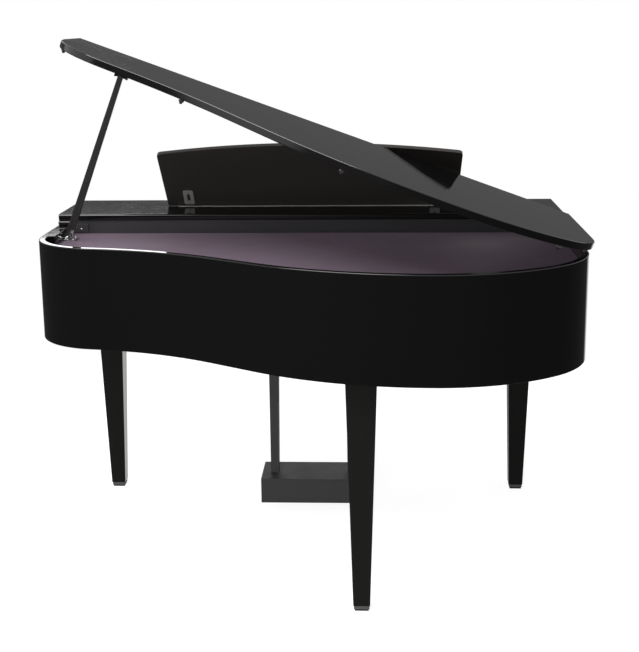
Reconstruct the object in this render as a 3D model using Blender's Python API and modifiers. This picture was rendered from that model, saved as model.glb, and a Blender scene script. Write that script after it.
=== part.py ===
"""A digital grand piano with its lid propped open, as separate pieces in metres, +Z up.

X runs across the keys from bass (-) to treble (+), and Y from the player (-) to the tail (+). Pieces are
written in case coordinates, whose y is 0 at the front of the arms, and one empty then centres them."""

import math

import bmesh
import bpy
from mathutils import Matrix, Vector

# Clearance between pieces that touch
GAP = 0.0003

# Case: two thick arms in front and one bent rim behind them
CASE_WIDTH = 1.430
CASE_BOTTOM = 0.599
CASE_TOP = 0.8655
RIM_WALL = 0.018
ARM_WALL = 0.037
ARM_TOP_RADIUS = 0.085
ARM_FOOT_RADIUS = 0.020
SEAM_SETBACK = 0.006

# Plan of the rim: the straight spine, spine corner, tail, bulge, straight, hollow and treble corner
SPINE_END = 0.880
SPINE_CORNER_RADIUS = 0.273
SPINE_CORNER_TURN = 50
TAIL_RADIUS = 0.447
BULGE_RADIUS = 0.760
BULGE_TURN = 35
RIM_STRAIGHT = 0.141
HOLLOW_END = 9
CORNER_RADIUS = 0.194
ARC_STEP = 4.6

# Boards inside the case
BOARD = 0.016
BOARD_RAISE = 0.002
SOUND_PANEL = 0.006
SOUND_PANEL_DROP = 0.0255
RAIL_FRONT = 0.4285
RAIL_THICKNESS = 0.018
RAIL_BLOCK_INSET = 0.028
RAIL_BLOCK_WIDTH = 0.038
RAIL_BLOCK_DEPTH = 0.004
RAIL_BLOCK_DROP = 0.022
RAIL_BLOCK_RAISE = 0.003
RAIL_BLOCK_ROOT = 0.005

# Front top board, which stands on two strips over the arms
TOP_BOARD = 0.018
TOP_BOARD_FRONT = 0.1575
TOP_BOARD_BACK = 0.4505
STRIP = 0.012

# Lid and its two hinges outside the spine
LID = 0.018
LID_FRONT = 0.464
LID_OVERHANG = 0.004
LID_ANGLE = 20
HINGE_OUTSIDE = 0.0035
HINGE_LENGTH = 0.060
HINGE_CENTRES = (0.510, 0.840)
HINGE_LEAF = 0.002
HINGE_REACH = 0.023
KNUCKLE_RADIUS = 0.005
HINGE_PIN_RADIUS = 0.002

# Prop stick: its swivel on the treble arm and the place under the lid that it holds
PROP_ARM_OFFSET = 0.0192
PROP_PIVOT_Y = 0.5564
PROP_PIVOT_DROP = 0.0075
PROP_REST_X = 0.4405
PROP_REST_Y = 0.835
PROP_STOWED_HEADING = 162
PROP_PIN_TILT = 6
PROP_END_GAP = 0.003
PROP_FOOT_WIDTH = 0.022
PROP_TOP_WIDTH = 0.0136
PROP_THICKNESS = 0.010
SWIVEL_RADIUS = 0.008
SWIVEL_LOW = 0.0065
SWIVEL_HIGH = 0.008
PROP_PIN_RADIUS = 0.0025
PROP_PIN_HIGH = 0.004
PROP_PIN_LOW = 0.019
BRACKET_PLATE = 0.0045
BRACKET_REACH = 0.019
BRACKET_HALF_LENGTH = 0.022
CUP_HEIGHT = 0.008
CUP_WALL = 0.004
CUP_SIDE_ROOM = 0.006
CUP_BACK_ROOM = 0.0075
CUP_DEPTH = 0.012

# Music desk on the top board
DESK_Y = 0.289
DESK_LEAN = 40
DESK_THICKNESS = 0.012
DESK_FOOT_WIDTH = 0.850
DESK_TOP_WIDTH = 0.864
DESK_SIDE_HEIGHT = 0.215
DESK_HEIGHT = 0.249
DESK_CORNER = 0.012
DESK_ARCH_STEPS = 14
LEDGE_WIDTH = 0.780
LEDGE_DEPTH = 0.024
LEDGE_THICKNESS = 0.008
LEDGE_RAISE = 0.014
STAY_X = 0.360
STAY_WIDTH = 0.030
STAY_LOW = 0.010
STAY_HIGH = 0.067
STAY_PLATE = 0.0025
SLOT_WIDTH = 0.009
SLOT_LENGTH = 0.030

# Keyboard
NATURAL_COUNT = 52
CHEEK_WIDTH = 0.067
KEY_SPACE = 0.001
KEY_FRONT = 0.028
KEY_HEAD = 0.050
KEY_PIVOT_Y = 0.250
KEY_TAIL = 0.0120
KEY_BOTTOM = 0.7035
KEY_THICKNESS = 0.0215
SHARP_WIDTH = 0.011
SHARP_TOP_WIDTH = 0.0095
SHARP_RISE = 0.012
SHARP_SLOPE = 0.005
SHARP_BAR_RAISE = 0.0015
SHARP_BAR_FRONT = 0.225
SHARP_BAR_BACK = 0.245
FRAME_BASE = 0.0077
FRONT_REST_Y = 0.040
FRONT_REST_DEPTH = 0.020
FRONT_REST_DROP = 0.0135
BALANCE_FRONT = 0.247

# Front of the case round the keys
KEYSLIP_FRONT = 0.003
KEYSLIP_THICKNESS = 0.018
KEYSLIP_HEIGHT = 0.111
CHEEK_TOP = 0.750
COVER = 0.008
COVER_FRONT = 0.160
COVER_BACK = 0.401
COVER_SIDE_GAP = 0.0015
COVER_LIP_DEPTH = 0.016
COVER_LIP_RISE = 0.0137
PANEL_FRONT = 0.180
PANEL_RAISE = 0.0022
PANEL_SLOPE = 20
PANEL_THICKNESS = 0.012

# Controls on the sloping panel: height up the slope and distances from the bass arm
CONTROL_HEIGHT = 0.062
POWER_INSET = 0.053
VOLUME_INSET = 0.118
VOICE_INSET = 0.183
METRONOME_INSET = 0.223
POWER_RADIUS = 0.0075
BUTTON_RADIUS = 0.0055
BUTTON_RISE = 0.003
BUTTON_DEPTH = 0.010
KNOB_RADIUS = 0.0115
KNOB_HEIGHT = 0.013
KNOB_SHAFT_RADIUS = 0.003
KNOB_POINTER = 0.0012

# Legs
LEG_TOP = 0.076
LEG_FOOT = 0.042
LEG_PLATE = 0.003
LEG_PLATE_SIDE = 0.092
FRONT_LEG_INSET = 0.093
FRONT_LEG_Y = 0.230
REAR_LEG_SHIFT = 0.175
REAR_LEG_INSET = 0.1015
GLIDE_SIDE = 0.0388
GLIDE_HEIGHT = 0.0142

# Lyre and pedals
LYRE_Y = 0.374
PEDAL_BOX_WIDTH = 0.305
PEDAL_BOX_DEPTH = 0.152
PEDAL_BOX_BOTTOM = 0.027
PEDAL_BOX_HEIGHT = 0.075
PEDAL_BOX_WALL = 0.008
PEDAL_COVER = 0.004
POST_TOP_X = 0.1127
POST_FOOT_X = 0.1152
POST_TOP_WIDTH = 0.030
POST_FOOT_WIDTH = 0.0234
POST_TOP_DEPTH = 0.046
POST_FOOT_DEPTH = 0.040
PEDAL_SPACING = 0.065
PEDAL_PIVOT_Y = 0.400
PEDAL_TIP_Y = 0.218
PEDAL_Z = 0.060
PEDAL_THICKNESS = 0.008
PEDAL_SHANK = 0.016
PEDAL_TOE = 0.030
PEDAL_TOE_LENGTH = 0.027
PEDAL_TOE_TAPER = 0.017
PEDAL_HUB_RADIUS = 0.010
PEDAL_TRAVEL = 5.5
AXLE_RADIUS = 0.004
AXLE_HALF = 0.125
AXLE_RIB_X = 0.108
AXLE_RIB = 0.008

# Electronics
SPEAKER_RADIUS = 0.0575
SPEAKER_FLANGE = 0.010
SPEAKER_DEPTH = 0.048
BASS_SPEAKER_INSET = 0.315
BASS_SPEAKER_Y = 0.800
TREBLE_SPEAKER_INSET = 0.415
TREBLE_SPEAKER_Y = 0.620
CIRCUIT_X = -0.100
CIRCUIT_Y = 0.560
CIRCUIT_LENGTH = 0.220
CIRCUIT_DEPTH = 0.120
CIRCUIT_LIFT = 0.010
CIRCUIT_SHEET = 0.0016
STANDOFF = 0.006
TRANSFORMER_HEIGHT = 0.045
HEAT_SINK_HEIGHT = 0.030
CAPACITOR_HEIGHT = 0.030
CAPACITOR_RADIUS = 0.009
SOCKET_BOX_INSET = 0.155
SOCKET_BOX_Y = 0.530
SOCKET_BOX_WIDTH = 0.130
SOCKET_BOX_DEPTH = 0.060
SOCKET_BOX_HEIGHT = 0.042
INLET_WIDTH = 0.026
INLET_HEIGHT = 0.018
INLET_DEPTH = 0.020
JACK_RADIUS = 0.005

# Finishes: colour, roughness, metallic
POLISHED_BLACK = (0.010, 0.010, 0.012, 0.08, 0.0)
SATIN_BLACK = (0.016, 0.016, 0.018, 0.45, 0.0)
MATTE_BLACK = (0.020, 0.020, 0.022, 0.70, 0.0)
PURPLE_GREY = (0.115, 0.105, 0.120, 0.75, 0.0)
SATIN_GREY = (0.045, 0.046, 0.048, 0.45, 0.0)
IVORY = (0.780, 0.760, 0.700, 0.35, 0.0)
EBONY = (0.012, 0.012, 0.012, 0.40, 0.0)
STEEL = (0.500, 0.500, 0.510, 0.30, 1.0)
BRASS = (0.600, 0.440, 0.200, 0.25, 1.0)
BARE_WOOD = (0.420, 0.300, 0.180, 0.70, 0.0)
CIRCUIT_GREEN = (0.020, 0.120, 0.060, 0.50, 0.0)

# Places and sizes that follow
RIM_X = CASE_WIDTH / 2
WAIST = RIM_X - ARM_WALL
SPINE_CORNER_SINE = math.sin(math.radians(SPINE_CORNER_TURN))
SPINE_CORNER_COSINE = math.cos(math.radians(SPINE_CORNER_TURN))
TAIL_REACH = SPINE_CORNER_RADIUS * (1 - SPINE_CORNER_COSINE) + TAIL_RADIUS * SPINE_CORNER_COSINE
TAIL_Y = SPINE_END + SPINE_CORNER_RADIUS * SPINE_CORNER_SINE + TAIL_RADIUS * (1 - SPINE_CORNER_SINE)
KEY_PITCH = 2 * (WAIST - CHEEK_WIDTH) / NATURAL_COUNT
BOARD_BOTTOM = CASE_BOTTOM + BOARD_RAISE
BOARD_TOP = BOARD_BOTTOM + BOARD
SOUND_TOP = CASE_TOP - SOUND_PANEL_DROP
TOP_BOARD_BOTTOM = CASE_TOP + STRIP
LID_BOTTOM = TOP_BOARD_BOTTOM
RAIL_BACK = RAIL_FRONT + RAIL_THICKNESS
KEY_TOP = KEY_BOTTOM + KEY_THICKNESS
COVER_BOTTOM = CHEEK_TOP + GAP
COVER_TOP = COVER_BOTTOM + COVER
PANEL_BOTTOM = COVER_TOP + PANEL_RAISE
BOX_TOP = PEDAL_BOX_BOTTOM + PEDAL_BOX_HEIGHT
BOX_FRONT = LYRE_Y - PEDAL_BOX_DEPTH / 2
BOX_BACK = LYRE_Y + PEDAL_BOX_DEPTH / 2
PLATE_BOTTOM = BOARD_BOTTOM - GAP - LEG_PLATE
LID_AXIS = Vector((-RIM_X - HINGE_OUTSIDE, 0, (CASE_TOP + LID_BOTTOM) / 2))
POWER_X = POWER_INSET - WAIST
VOLUME_X = VOLUME_INSET - WAIST
VOICE_X = VOICE_INSET - WAIST
METRONOME_X = METRONOME_INSET - WAIST
FRONT_LEG_X = RIM_X - FRONT_LEG_INSET
REAR_LEG_X = TAIL_REACH - RIM_X + REAR_LEG_SHIFT
REAR_LEG_Y = TAIL_Y - REAR_LEG_INSET
SOCKET_BOX_X = SOCKET_BOX_INSET - RIM_X
SPEAKER_PLACES = (
    ("speaker_bass", BASS_SPEAKER_INSET - RIM_X, BASS_SPEAKER_Y),
    ("speaker_treble", RIM_X - TREBLE_SPEAKER_INSET, TREBLE_SPEAKER_Y),
)


def clear_scene():
    for old in list(bpy.data.objects):
        bpy.data.objects.remove(old)


def new_collection(name):
    made = bpy.data.collections.new(name)
    bpy.context.scene.collection.children.link(made)
    return made


clear_scene()
PARTS = new_collection("digital_grand_piano")
CUTTERS = new_collection("cutters")
CUTTERS.hide_render = True


def add_empty(name, place, turn=(0, 0, 0), parent=None):
    """An empty that carries pieces; turn holds its rotation about X, Y and Z in degrees."""
    empty = bpy.data.objects.new(name, None)
    empty.empty_display_size = 0.03
    empty.location = place
    empty.rotation_euler = [math.radians(angle) for angle in turn]
    empty.parent = parent
    PARTS.objects.link(empty)
    return empty


def add_piece(name, data, place=(0, 0, 0)):
    piece = bpy.data.objects.new(name, data)
    piece.location = place
    piece.parent = ORIGIN
    PARTS.objects.link(piece)
    return piece


def paint(piece, finish):
    """Gives the piece its own material."""
    red, green, blue, roughness, metallic = finish
    material = bpy.data.materials.new(piece.name + "_finish")
    material.use_nodes = True
    shader = material.node_tree.nodes["Principled BSDF"]
    shader.inputs["Base Color"].default_value = (red, green, blue, 1)
    shader.inputs["Roughness"].default_value = roughness
    shader.inputs["Metallic"].default_value = metallic
    material.diffuse_color = (red, green, blue, 1)
    piece.data.materials.append(material)
    return piece


def hang(piece, pivot):
    """Hands a piece over to a pivot that itself sits in case coordinates."""
    piece.location = Vector(piece.location) - Vector(pivot.location)
    piece.parent = pivot
    return piece


def block(name, low, high):
    """A box between two corners."""
    low = Vector(low)
    high = Vector(high)
    mesh = bpy.data.meshes.new(name)
    shape = bmesh.new()
    bmesh.ops.create_cube(shape, size=1)
    bmesh.ops.scale(shape, vec=high - low, verts=shape.verts)
    shape.to_mesh(mesh)
    shape.free()
    return add_piece(name, mesh, (low + high) / 2)


def tapered_post(name, foot, foot_size, top, top_size):
    """A square post whose foot and top are rectangles about two centre points."""
    foot = Vector(foot)
    top = Vector(top)
    middle = (foot + top) / 2
    mesh = bpy.data.meshes.new(name)
    shape = bmesh.new()
    bmesh.ops.create_cube(shape, size=2)
    for vert in shape.verts:
        centre, size = (top, top_size) if vert.co.z > 0 else (foot, foot_size)
        vert.co = centre - middle + Vector((vert.co.x * size[0] / 2, vert.co.y * size[1] / 2, 0))
    shape.to_mesh(mesh)
    shape.free()
    return add_piece(name, mesh, middle)


def rod(name, start, end, radius, segments=24):
    """A round bar between two points."""
    start = Vector(start)
    end = Vector(end)
    mesh = bpy.data.meshes.new(name)
    shape = bmesh.new()
    bmesh.ops.create_cone(
        shape, cap_ends=True, segments=segments, radius1=radius, radius2=radius, depth=(end - start).length
    )
    shape.to_mesh(mesh)
    shape.free()
    mesh.shade_smooth()
    mesh.set_sharp_from_angle(angle=math.radians(40))
    piece = add_piece(name, mesh, (start + end) / 2)
    piece.rotation_mode = "QUATERNION"
    piece.rotation_quaternion = (end - start).to_track_quat("Z", "Y")
    return piece


def turned(name, profile, steps=24):
    """A piece turned about Z from (radius, height) points that run down its outer side."""
    mesh = bpy.data.meshes.new(name)
    points = [(radius, 0, height) for radius, height in profile]
    mesh.from_pydata(points, [(index, index + 1) for index in range(len(points) - 1)], [])
    piece = add_piece(name, mesh)
    screw = piece.modifiers.new("turn", "SCREW")
    screw.steps = steps
    screw.render_steps = steps
    screw.use_merge_vertices = True
    screw.merge_threshold = 0.00001
    screw.use_smooth_shade = False
    return piece


AXIS_TURNS = {"X": (90, 0, 90), "Y": (90, 0, 0), "Z": (0, 0, 0)}


def plate(name, outlines, low, high, along="Z"):
    """Flat outlines, the first with the others as holes, extruded between two places on an axis.

    Outline points are (x, y) along Z, (y, z) along X and (x, z) along Y."""
    curve = bpy.data.curves.new(name, "CURVE")
    curve.dimensions = "2D"
    curve.fill_mode = "BOTH"
    curve.extrude = (high - low) / 2
    for outline in outlines:
        spline = curve.splines.new("POLY")
        spline.points.add(len(outline) - 1)
        for point, (across, up) in zip(spline.points, outline):
            point.co = (across, up, 0, 1)
        spline.use_cyclic_u = True
    middle = (low + high) / 2
    piece = add_piece(name, curve, {"X": (middle, 0, 0), "Y": (0, middle, 0), "Z": (0, 0, middle)}[along])
    piece.rotation_euler = [math.radians(angle) for angle in AXIS_TURNS[along]]
    return piece


def as_mesh(piece):
    """The same piece as a welded mesh, so that it can be cut or joined."""
    bpy.context.view_layer.update()
    graph = bpy.context.evaluated_depsgraph_get()
    mesh = bpy.data.meshes.new_from_object(piece.evaluated_get(graph))
    shape = bmesh.new()
    shape.from_mesh(mesh)
    bmesh.ops.remove_doubles(shape, verts=shape.verts, dist=0.00001)
    shape.to_mesh(mesh)
    shape.free()
    name = piece.name
    place = piece.location.copy()
    turn = piece.rotation_euler.copy()
    parent = piece.parent
    bpy.data.objects.remove(piece)
    welded = add_piece(name, mesh, place)
    welded.rotation_euler = turn
    welded.parent = parent
    return welded


def boolean(piece, tools, operation):
    for tool in tools:
        PARTS.objects.unlink(tool)
        CUTTERS.objects.link(tool)
        tool.hide_render = True
        tool.display_type = "WIRE"
        modifier = piece.modifiers.new(tool.name, "BOOLEAN")
        modifier.operation = operation
        modifier.object = tool
    return piece


def cut(piece, *tools):
    return boolean(piece, tools, "DIFFERENCE")


def join(piece, *tools):
    return boolean(piece, tools, "UNION")


def trim(piece, *tools):
    return boolean(piece, tools, "INTERSECT")


def rectangle(low_x, low_y, high_x, high_y):
    return [(low_x, low_y), (high_x, low_y), (high_x, high_y), (low_x, high_y)]


def circle(x, y, radius, steps=24):
    angles = [2 * math.pi * step / steps for step in range(steps)]
    return [(x + radius * math.cos(angle), y + radius * math.sin(angle)) for angle in angles]


def rounded(corners, steps=5):
    """The outline through (x, y, radius) corners, with an arc at each that has a radius."""
    outline = []
    for index, (x, y, radius) in enumerate(corners):
        corner = Vector((x, y))
        if not radius:
            outline.append(tuple(corner))
            continue
        back = (Vector(corners[index - 1][:2]) - corner).normalized()
        on = (Vector(corners[(index + 1) % len(corners)][:2]) - corner).normalized()
        half = back.angle(on) / 2
        centre = corner + (back + on).normalized() * radius / math.sin(half)
        start = corner + back * radius / math.tan(half) - centre
        sweep = start.angle_signed(corner + on * radius / math.tan(half) - centre)
        for step in range(steps + 1):
            turned_by = Matrix.Rotation(-sweep * step / steps, 2)
            outline.append(tuple(centre + turned_by @ start))
    return outline


def bend(points, heading, turn, radius):
    """Adds an arc of turn degrees (left is positive) to the points and returns the new heading."""
    start = points[-1]
    side = math.copysign(radius, turn)
    centre = start + side * Vector((-math.sin(heading), math.cos(heading)))
    steps = math.ceil(abs(turn) / ARC_STEP)
    for step in range(1, steps + 1):
        angle = heading + math.radians(turn) * step / steps
        points.append(centre - side * Vector((-math.sin(angle), math.cos(angle))))
    return heading + math.radians(turn)


def hollow_radius():
    """Radius of the hollow that makes the bends and the straight as wide as the case."""
    slope = math.radians(BULGE_TURN)
    end = math.radians(HOLLOW_END)
    bulge = TAIL_REACH + BULGE_RADIUS * math.sin(slope)
    straight = RIM_STRAIGHT * math.cos(slope)
    corner = CORNER_RADIUS * (1 - math.sin(end))
    return (CASE_WIDTH - bulge - straight - corner) / (math.sin(slope) - math.sin(end))


def rim_line(inset, front):
    """Plan points of the rim moved in by inset, from the bass side round the tail to the treble."""
    left = -RIM_X + inset
    points = [Vector((left, front)), Vector((left, SPINE_END))]
    heading = bend(points, math.radians(90), -SPINE_CORNER_TURN, SPINE_CORNER_RADIUS - inset)
    heading = bend(points, heading, SPINE_CORNER_TURN - 90, TAIL_RADIUS - inset)
    heading = bend(points, heading, -BULGE_TURN, BULGE_RADIUS - inset)
    points.append(points[-1] + RIM_STRAIGHT * Vector((math.cos(heading), math.sin(heading))))
    heading = bend(points, heading, BULGE_TURN - HOLLOW_END, hollow_radius() + inset)
    bend(points, heading, HOLLOW_END - 90, CORNER_RADIUS - inset)
    points.append(Vector((RIM_X - inset, front)))
    return points


ARM_END = rim_line(0, 0)[-2].y - SEAM_SETBACK


def inner_outline(front):
    """The room inside the case in plan: between the arms, then within the rim."""
    arm = WAIST - GAP
    seam = ARM_END + GAP
    return [(-arm, front), (-arm, seam), *rim_line(RIM_WALL + GAP, seam), (arm, seam), (arm, front)]


def lid_lift(x):
    """Height of the open lid's underside over a place across the case."""
    slope = math.radians(LID_ANGLE)
    return LID_AXIS.z + (LID_BOTTOM - LID_AXIS.z) / math.cos(slope) + (x - LID_AXIS.x) * math.tan(slope)


def open_corner_x():
    """The furthest bass point of the open lid, which is its upper edge."""
    slope = math.radians(LID_ANGLE)
    outside = LID_OVERHANG - HINGE_OUTSIDE
    return LID_AXIS.x - outside * math.cos(slope) - (LID_BOTTOM + LID - LID_AXIS.z) * math.sin(slope)


# The origin sits under the middle of the whole piano's box
ORIGIN = add_empty("piano_origin", (-(RIM_X + open_corner_x()) / 2, -(TAIL_Y + LID_OVERHANG) / 2, 0))


def make_rim():
    line = [point for point in reversed(rim_line(0, ARM_END + GAP))]
    mesh = bpy.data.meshes.new("rim")
    shape = bmesh.new()
    feet = [shape.verts.new((point.x, point.y, CASE_BOTTOM)) for point in line]
    tops = [shape.verts.new((point.x, point.y, CASE_TOP)) for point in line]
    for index in range(len(line) - 1):
        shape.faces.new((feet[index], feet[index + 1], tops[index + 1], tops[index]))
    shape.to_mesh(mesh)
    shape.free()
    mesh.shade_smooth()
    mesh.set_sharp_from_angle(angle=math.radians(30))
    rim = paint(add_piece("rim", mesh), POLISHED_BLACK)
    wall = rim.modifiers.new("wall", "SOLIDIFY")
    wall.thickness = RIM_WALL
    wall.offset = -1
    wall.use_even_offset = True


def make_arms():
    profile = rounded(
        [
            (0, CASE_BOTTOM, ARM_FOOT_RADIUS),
            (ARM_END, CASE_BOTTOM, 0),
            (ARM_END, CASE_TOP, 0),
            (0, CASE_TOP, ARM_TOP_RADIUS),
        ],
        steps=8,
    )
    paint(plate("arm_treble", [profile], WAIST, RIM_X, "X"), POLISHED_BLACK)
    paint(plate("arm_bass", [profile], -RIM_X, -WAIST, "X"), POLISHED_BLACK)


def make_boards():
    front = KEYSLIP_FRONT + KEYSLIP_THICKNESS + GAP
    holes = [circle(x, y, SPEAKER_RADIUS) for _, x, y in SPEAKER_PLACES]
    paint(plate("bottom_board", [inner_outline(front), *holes], BOARD_BOTTOM, BOARD_TOP), SATIN_BLACK)
    panel = plate("sound_panel", [inner_outline(RAIL_BACK + GAP)], SOUND_TOP - SOUND_PANEL, SOUND_TOP)
    paint(panel, PURPLE_GREY)


def make_rear_rail():
    side = WAIST - 2 * GAP
    rail = block(
        "rear_rail", (-side, RAIL_FRONT, BOARD_TOP + GAP), (side, RAIL_BACK, TOP_BOARD_BOTTOM - GAP)
    )
    half = RAIL_BLOCK_WIDTH / 2
    near = RAIL_BACK - RAIL_BLOCK_ROOT
    far = RAIL_BACK + RAIL_BLOCK_DEPTH
    low = SOUND_TOP + RAIL_BLOCK_RAISE
    high = TOP_BOARD_BOTTOM - RAIL_BLOCK_DROP / 2
    end = WAIST - RAIL_BLOCK_INSET
    blocks = [
        block(name, (x - half, near, low), (x + half, far, high))
        for name, x in (("rail_block_treble", end), ("rail_block_bass", -end))
    ]
    paint(join(rail, *blocks), SATIN_GREY)


def make_top_board():
    top = TOP_BOARD_BOTTOM + TOP_BOARD
    low = CASE_TOP + GAP
    section = [
        (-RIM_X, top),
        (RIM_X, top),
        (RIM_X, low),
        (WAIST, low),
        (WAIST, TOP_BOARD_BOTTOM),
        (-WAIST, TOP_BOARD_BOTTOM),
        (-WAIST, low),
        (-RIM_X, low),
    ]
    paint(plate("top_board", [section], TOP_BOARD_FRONT, TOP_BOARD_BACK, "Y"), POLISHED_BLACK)


def make_key_surround():
    slip_back = KEYSLIP_FRONT + KEYSLIP_THICKNESS
    side = WAIST - GAP
    slip = block(
        "keyslip", (-side, KEYSLIP_FRONT, BOARD_BOTTOM), (side, slip_back, BOARD_BOTTOM + KEYSLIP_HEIGHT)
    )
    paint(slip, POLISHED_BLACK)
    inner = WAIST - CHEEK_WIDTH + KEY_SPACE
    low = (inner, slip_back + GAP, BOARD_TOP + GAP)
    high = (side, RAIL_FRONT - GAP, CHEEK_TOP)
    paint(block("cheek_treble", low, high), POLISHED_BLACK)
    paint(block("cheek_bass", (-high[0], low[1], low[2]), (-low[0], high[1], high[2])), POLISHED_BLACK)


def make_key_cover():
    side = WAIST - COVER_SIDE_GAP
    section = [
        (COVER_FRONT, COVER_BOTTOM),
        (COVER_BACK, COVER_BOTTOM),
        (COVER_BACK, COVER_TOP),
        (COVER_FRONT + COVER_LIP_DEPTH, COVER_TOP),
        (COVER_FRONT + COVER_LIP_DEPTH, COVER_TOP + COVER_LIP_RISE),
        (COVER_FRONT, COVER_TOP + COVER_LIP_RISE),
    ]
    cover = plate("key_cover", [section], -side, side, "X")
    slide = add_empty("key_cover_slide", (0, COVER_FRONT, COVER_BOTTOM), parent=ORIGIN)
    paint(hang(cover, slide), POLISHED_BLACK)


def slope_frame(name, x, up, out=0):
    """An empty on the control panel's face, with its Z out of the face and its Y up the slope."""
    slope = math.radians(PANEL_SLOPE)
    along = Vector((0, math.sin(slope), math.cos(slope)))
    outward = Vector((0, -math.cos(slope), math.sin(slope)))
    place = Vector((x, PANEL_FRONT, PANEL_BOTTOM)) + up * along + out * outward
    return add_empty(name, place, (90 - PANEL_SLOPE, 0, 0), ORIGIN)


def on_frame(piece, frame):
    """Puts a piece that was made about its own origin on a frame."""
    piece.parent = frame
    return piece


def make_control_panel():
    top = TOP_BOARD_BOTTOM - GAP
    set_back = math.tan(math.radians(PANEL_SLOPE)) * (top - PANEL_BOTTOM)
    depth = PANEL_THICKNESS / math.cos(math.radians(PANEL_SLOPE))
    section = [
        (PANEL_FRONT, PANEL_BOTTOM),
        (PANEL_FRONT + depth, PANEL_BOTTOM),
        (PANEL_FRONT + depth + set_back, top),
        (PANEL_FRONT + set_back, top),
    ]
    side = WAIST - GAP
    panel = as_mesh(plate("control_panel", [section], -side, side, "X"))
    holes = []
    for name, x, radius in (
        ("power_hole", POWER_X, POWER_RADIUS),
        ("volume_hole", VOLUME_X, KNOB_SHAFT_RADIUS),
        ("voice_hole", VOICE_X, BUTTON_RADIUS),
        ("metronome_hole", METRONOME_X, BUTTON_RADIUS),
    ):
        hole = rod(name, (0, 0, -2 * PANEL_THICKNESS), (0, 0, PANEL_THICKNESS), radius + GAP)
        holes.append(on_frame(hole, slope_frame(name + "_place", x, CONTROL_HEIGHT)))
    paint(cut(panel, *holes), POLISHED_BLACK)


def make_button(name, x, radius, finish):
    edge = radius / 8
    profile = [
        (0, BUTTON_RISE),
        (radius - edge, BUTTON_RISE),
        (radius, BUTTON_RISE - edge),
        (radius, -BUTTON_DEPTH),
        (0, -BUTTON_DEPTH),
    ]
    button = turned(name, profile, 24)
    paint(on_frame(button, slope_frame(name + "_axis", x, CONTROL_HEIGHT)), finish)


def make_volume_knob():
    edge = KNOB_RADIUS / 10
    base = GAP * 2
    profile = [
        (0, KNOB_HEIGHT),
        (KNOB_RADIUS - edge, KNOB_HEIGHT),
        (KNOB_RADIUS, KNOB_HEIGHT - edge),
        (KNOB_RADIUS, base),
        (KNOB_SHAFT_RADIUS, base),
        (KNOB_SHAFT_RADIUS, -BUTTON_DEPTH),
        (0, -BUTTON_DEPTH),
    ]
    frame = slope_frame("volume_knob_axis", VOLUME_X, CONTROL_HEIGHT)
    knob = on_frame(turned("volume_knob", profile, 28), frame)
    pointer = block(
        "knob_pointer",
        (-KNOB_POINTER / 2, KNOB_RADIUS * 0.3, KNOB_HEIGHT - KNOB_POINTER),
        (KNOB_POINTER / 2, KNOB_RADIUS + KNOB_POINTER / 2, KNOB_HEIGHT + KNOB_POINTER / 2),
    )
    paint(join(knob, on_frame(pointer, frame)), SATIN_BLACK)


def key_left(index):
    return (index - NATURAL_COUNT / 2) * KEY_PITCH


def key_group(index):
    """The place of a natural in its group between the rows of sharps, and the group's size."""
    letter = "ABCDEFG"[index % 7]
    group = "CDE" if letter in "CDE" else "FGAB"
    return group.index(letter), len(group)


def has_sharp(index):
    place, size = key_group(index)
    return place < size - 1 and 0 <= index < NATURAL_COUNT - 1


def sharp_slot(index):
    """The x range that the sharp after a natural takes between the tails."""
    place, size = key_group(index)
    unit = size * KEY_PITCH / (2 * size - 1)
    start = key_left(index - place) + (2 * place + 1) * unit
    return start, start + unit


def naturals_outline(first, last):
    """Plan of the naturals first to last, joined behind the pivot."""
    head_end = KEY_FRONT + KEY_HEAD
    bar = KEY_PIVOT_Y
    points = []
    for index in range(first, last + 1):
        left = key_left(index) + KEY_SPACE / 2
        right = key_left(index + 1) - KEY_SPACE / 2
        tail_left = sharp_slot(index - 1)[1] if index and has_sharp(index - 1) else left
        tail_right = sharp_slot(index)[0] if has_sharp(index) else right
        for point in (
            (tail_left, bar),
            (tail_left, head_end),
            (left, head_end),
            (left, KEY_FRONT),
            (right, KEY_FRONT),
            (right, head_end),
            (tail_right, head_end),
            (tail_right, bar),
        ):
            if not points or point != points[-1]:
                points.append(point)
    back = KEY_PIVOT_Y + KEY_TAIL
    points[-1] = (points[-1][0], back)
    points[0] = (points[0][0], back)
    return points


def key_axis(name):
    return add_empty(name + "_axis", (0, KEY_PIVOT_Y, KEY_BOTTOM), parent=ORIGIN)


def make_naturals(name, first, last):
    keys = plate(name, [naturals_outline(first, last)], KEY_BOTTOM, KEY_TOP)
    paint(hang(keys, key_axis(name)), IVORY)


def sharp_block(name, index):
    """One sharp, narrower at its top and with a sloping front."""
    start, end = sharp_slot(index)
    middle = (start + end) / 2
    sharp = block(
        name,
        (middle - SHARP_WIDTH / 2, KEY_FRONT + KEY_HEAD + KEY_SPACE, KEY_BOTTOM),
        (middle + SHARP_WIDTH / 2, KEY_PIVOT_Y - KEY_SPACE, KEY_TOP + SHARP_RISE),
    )
    for vert in sharp.data.vertices:
        if vert.co.z > 0:
            vert.co.x *= SHARP_TOP_WIDTH / SHARP_WIDTH
            if vert.co.y < 0:
                vert.co.y += SHARP_SLOPE
    return sharp


def make_sharp(name, index):
    paint(hang(sharp_block(name, index), key_axis(name)), EBONY)


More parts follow.
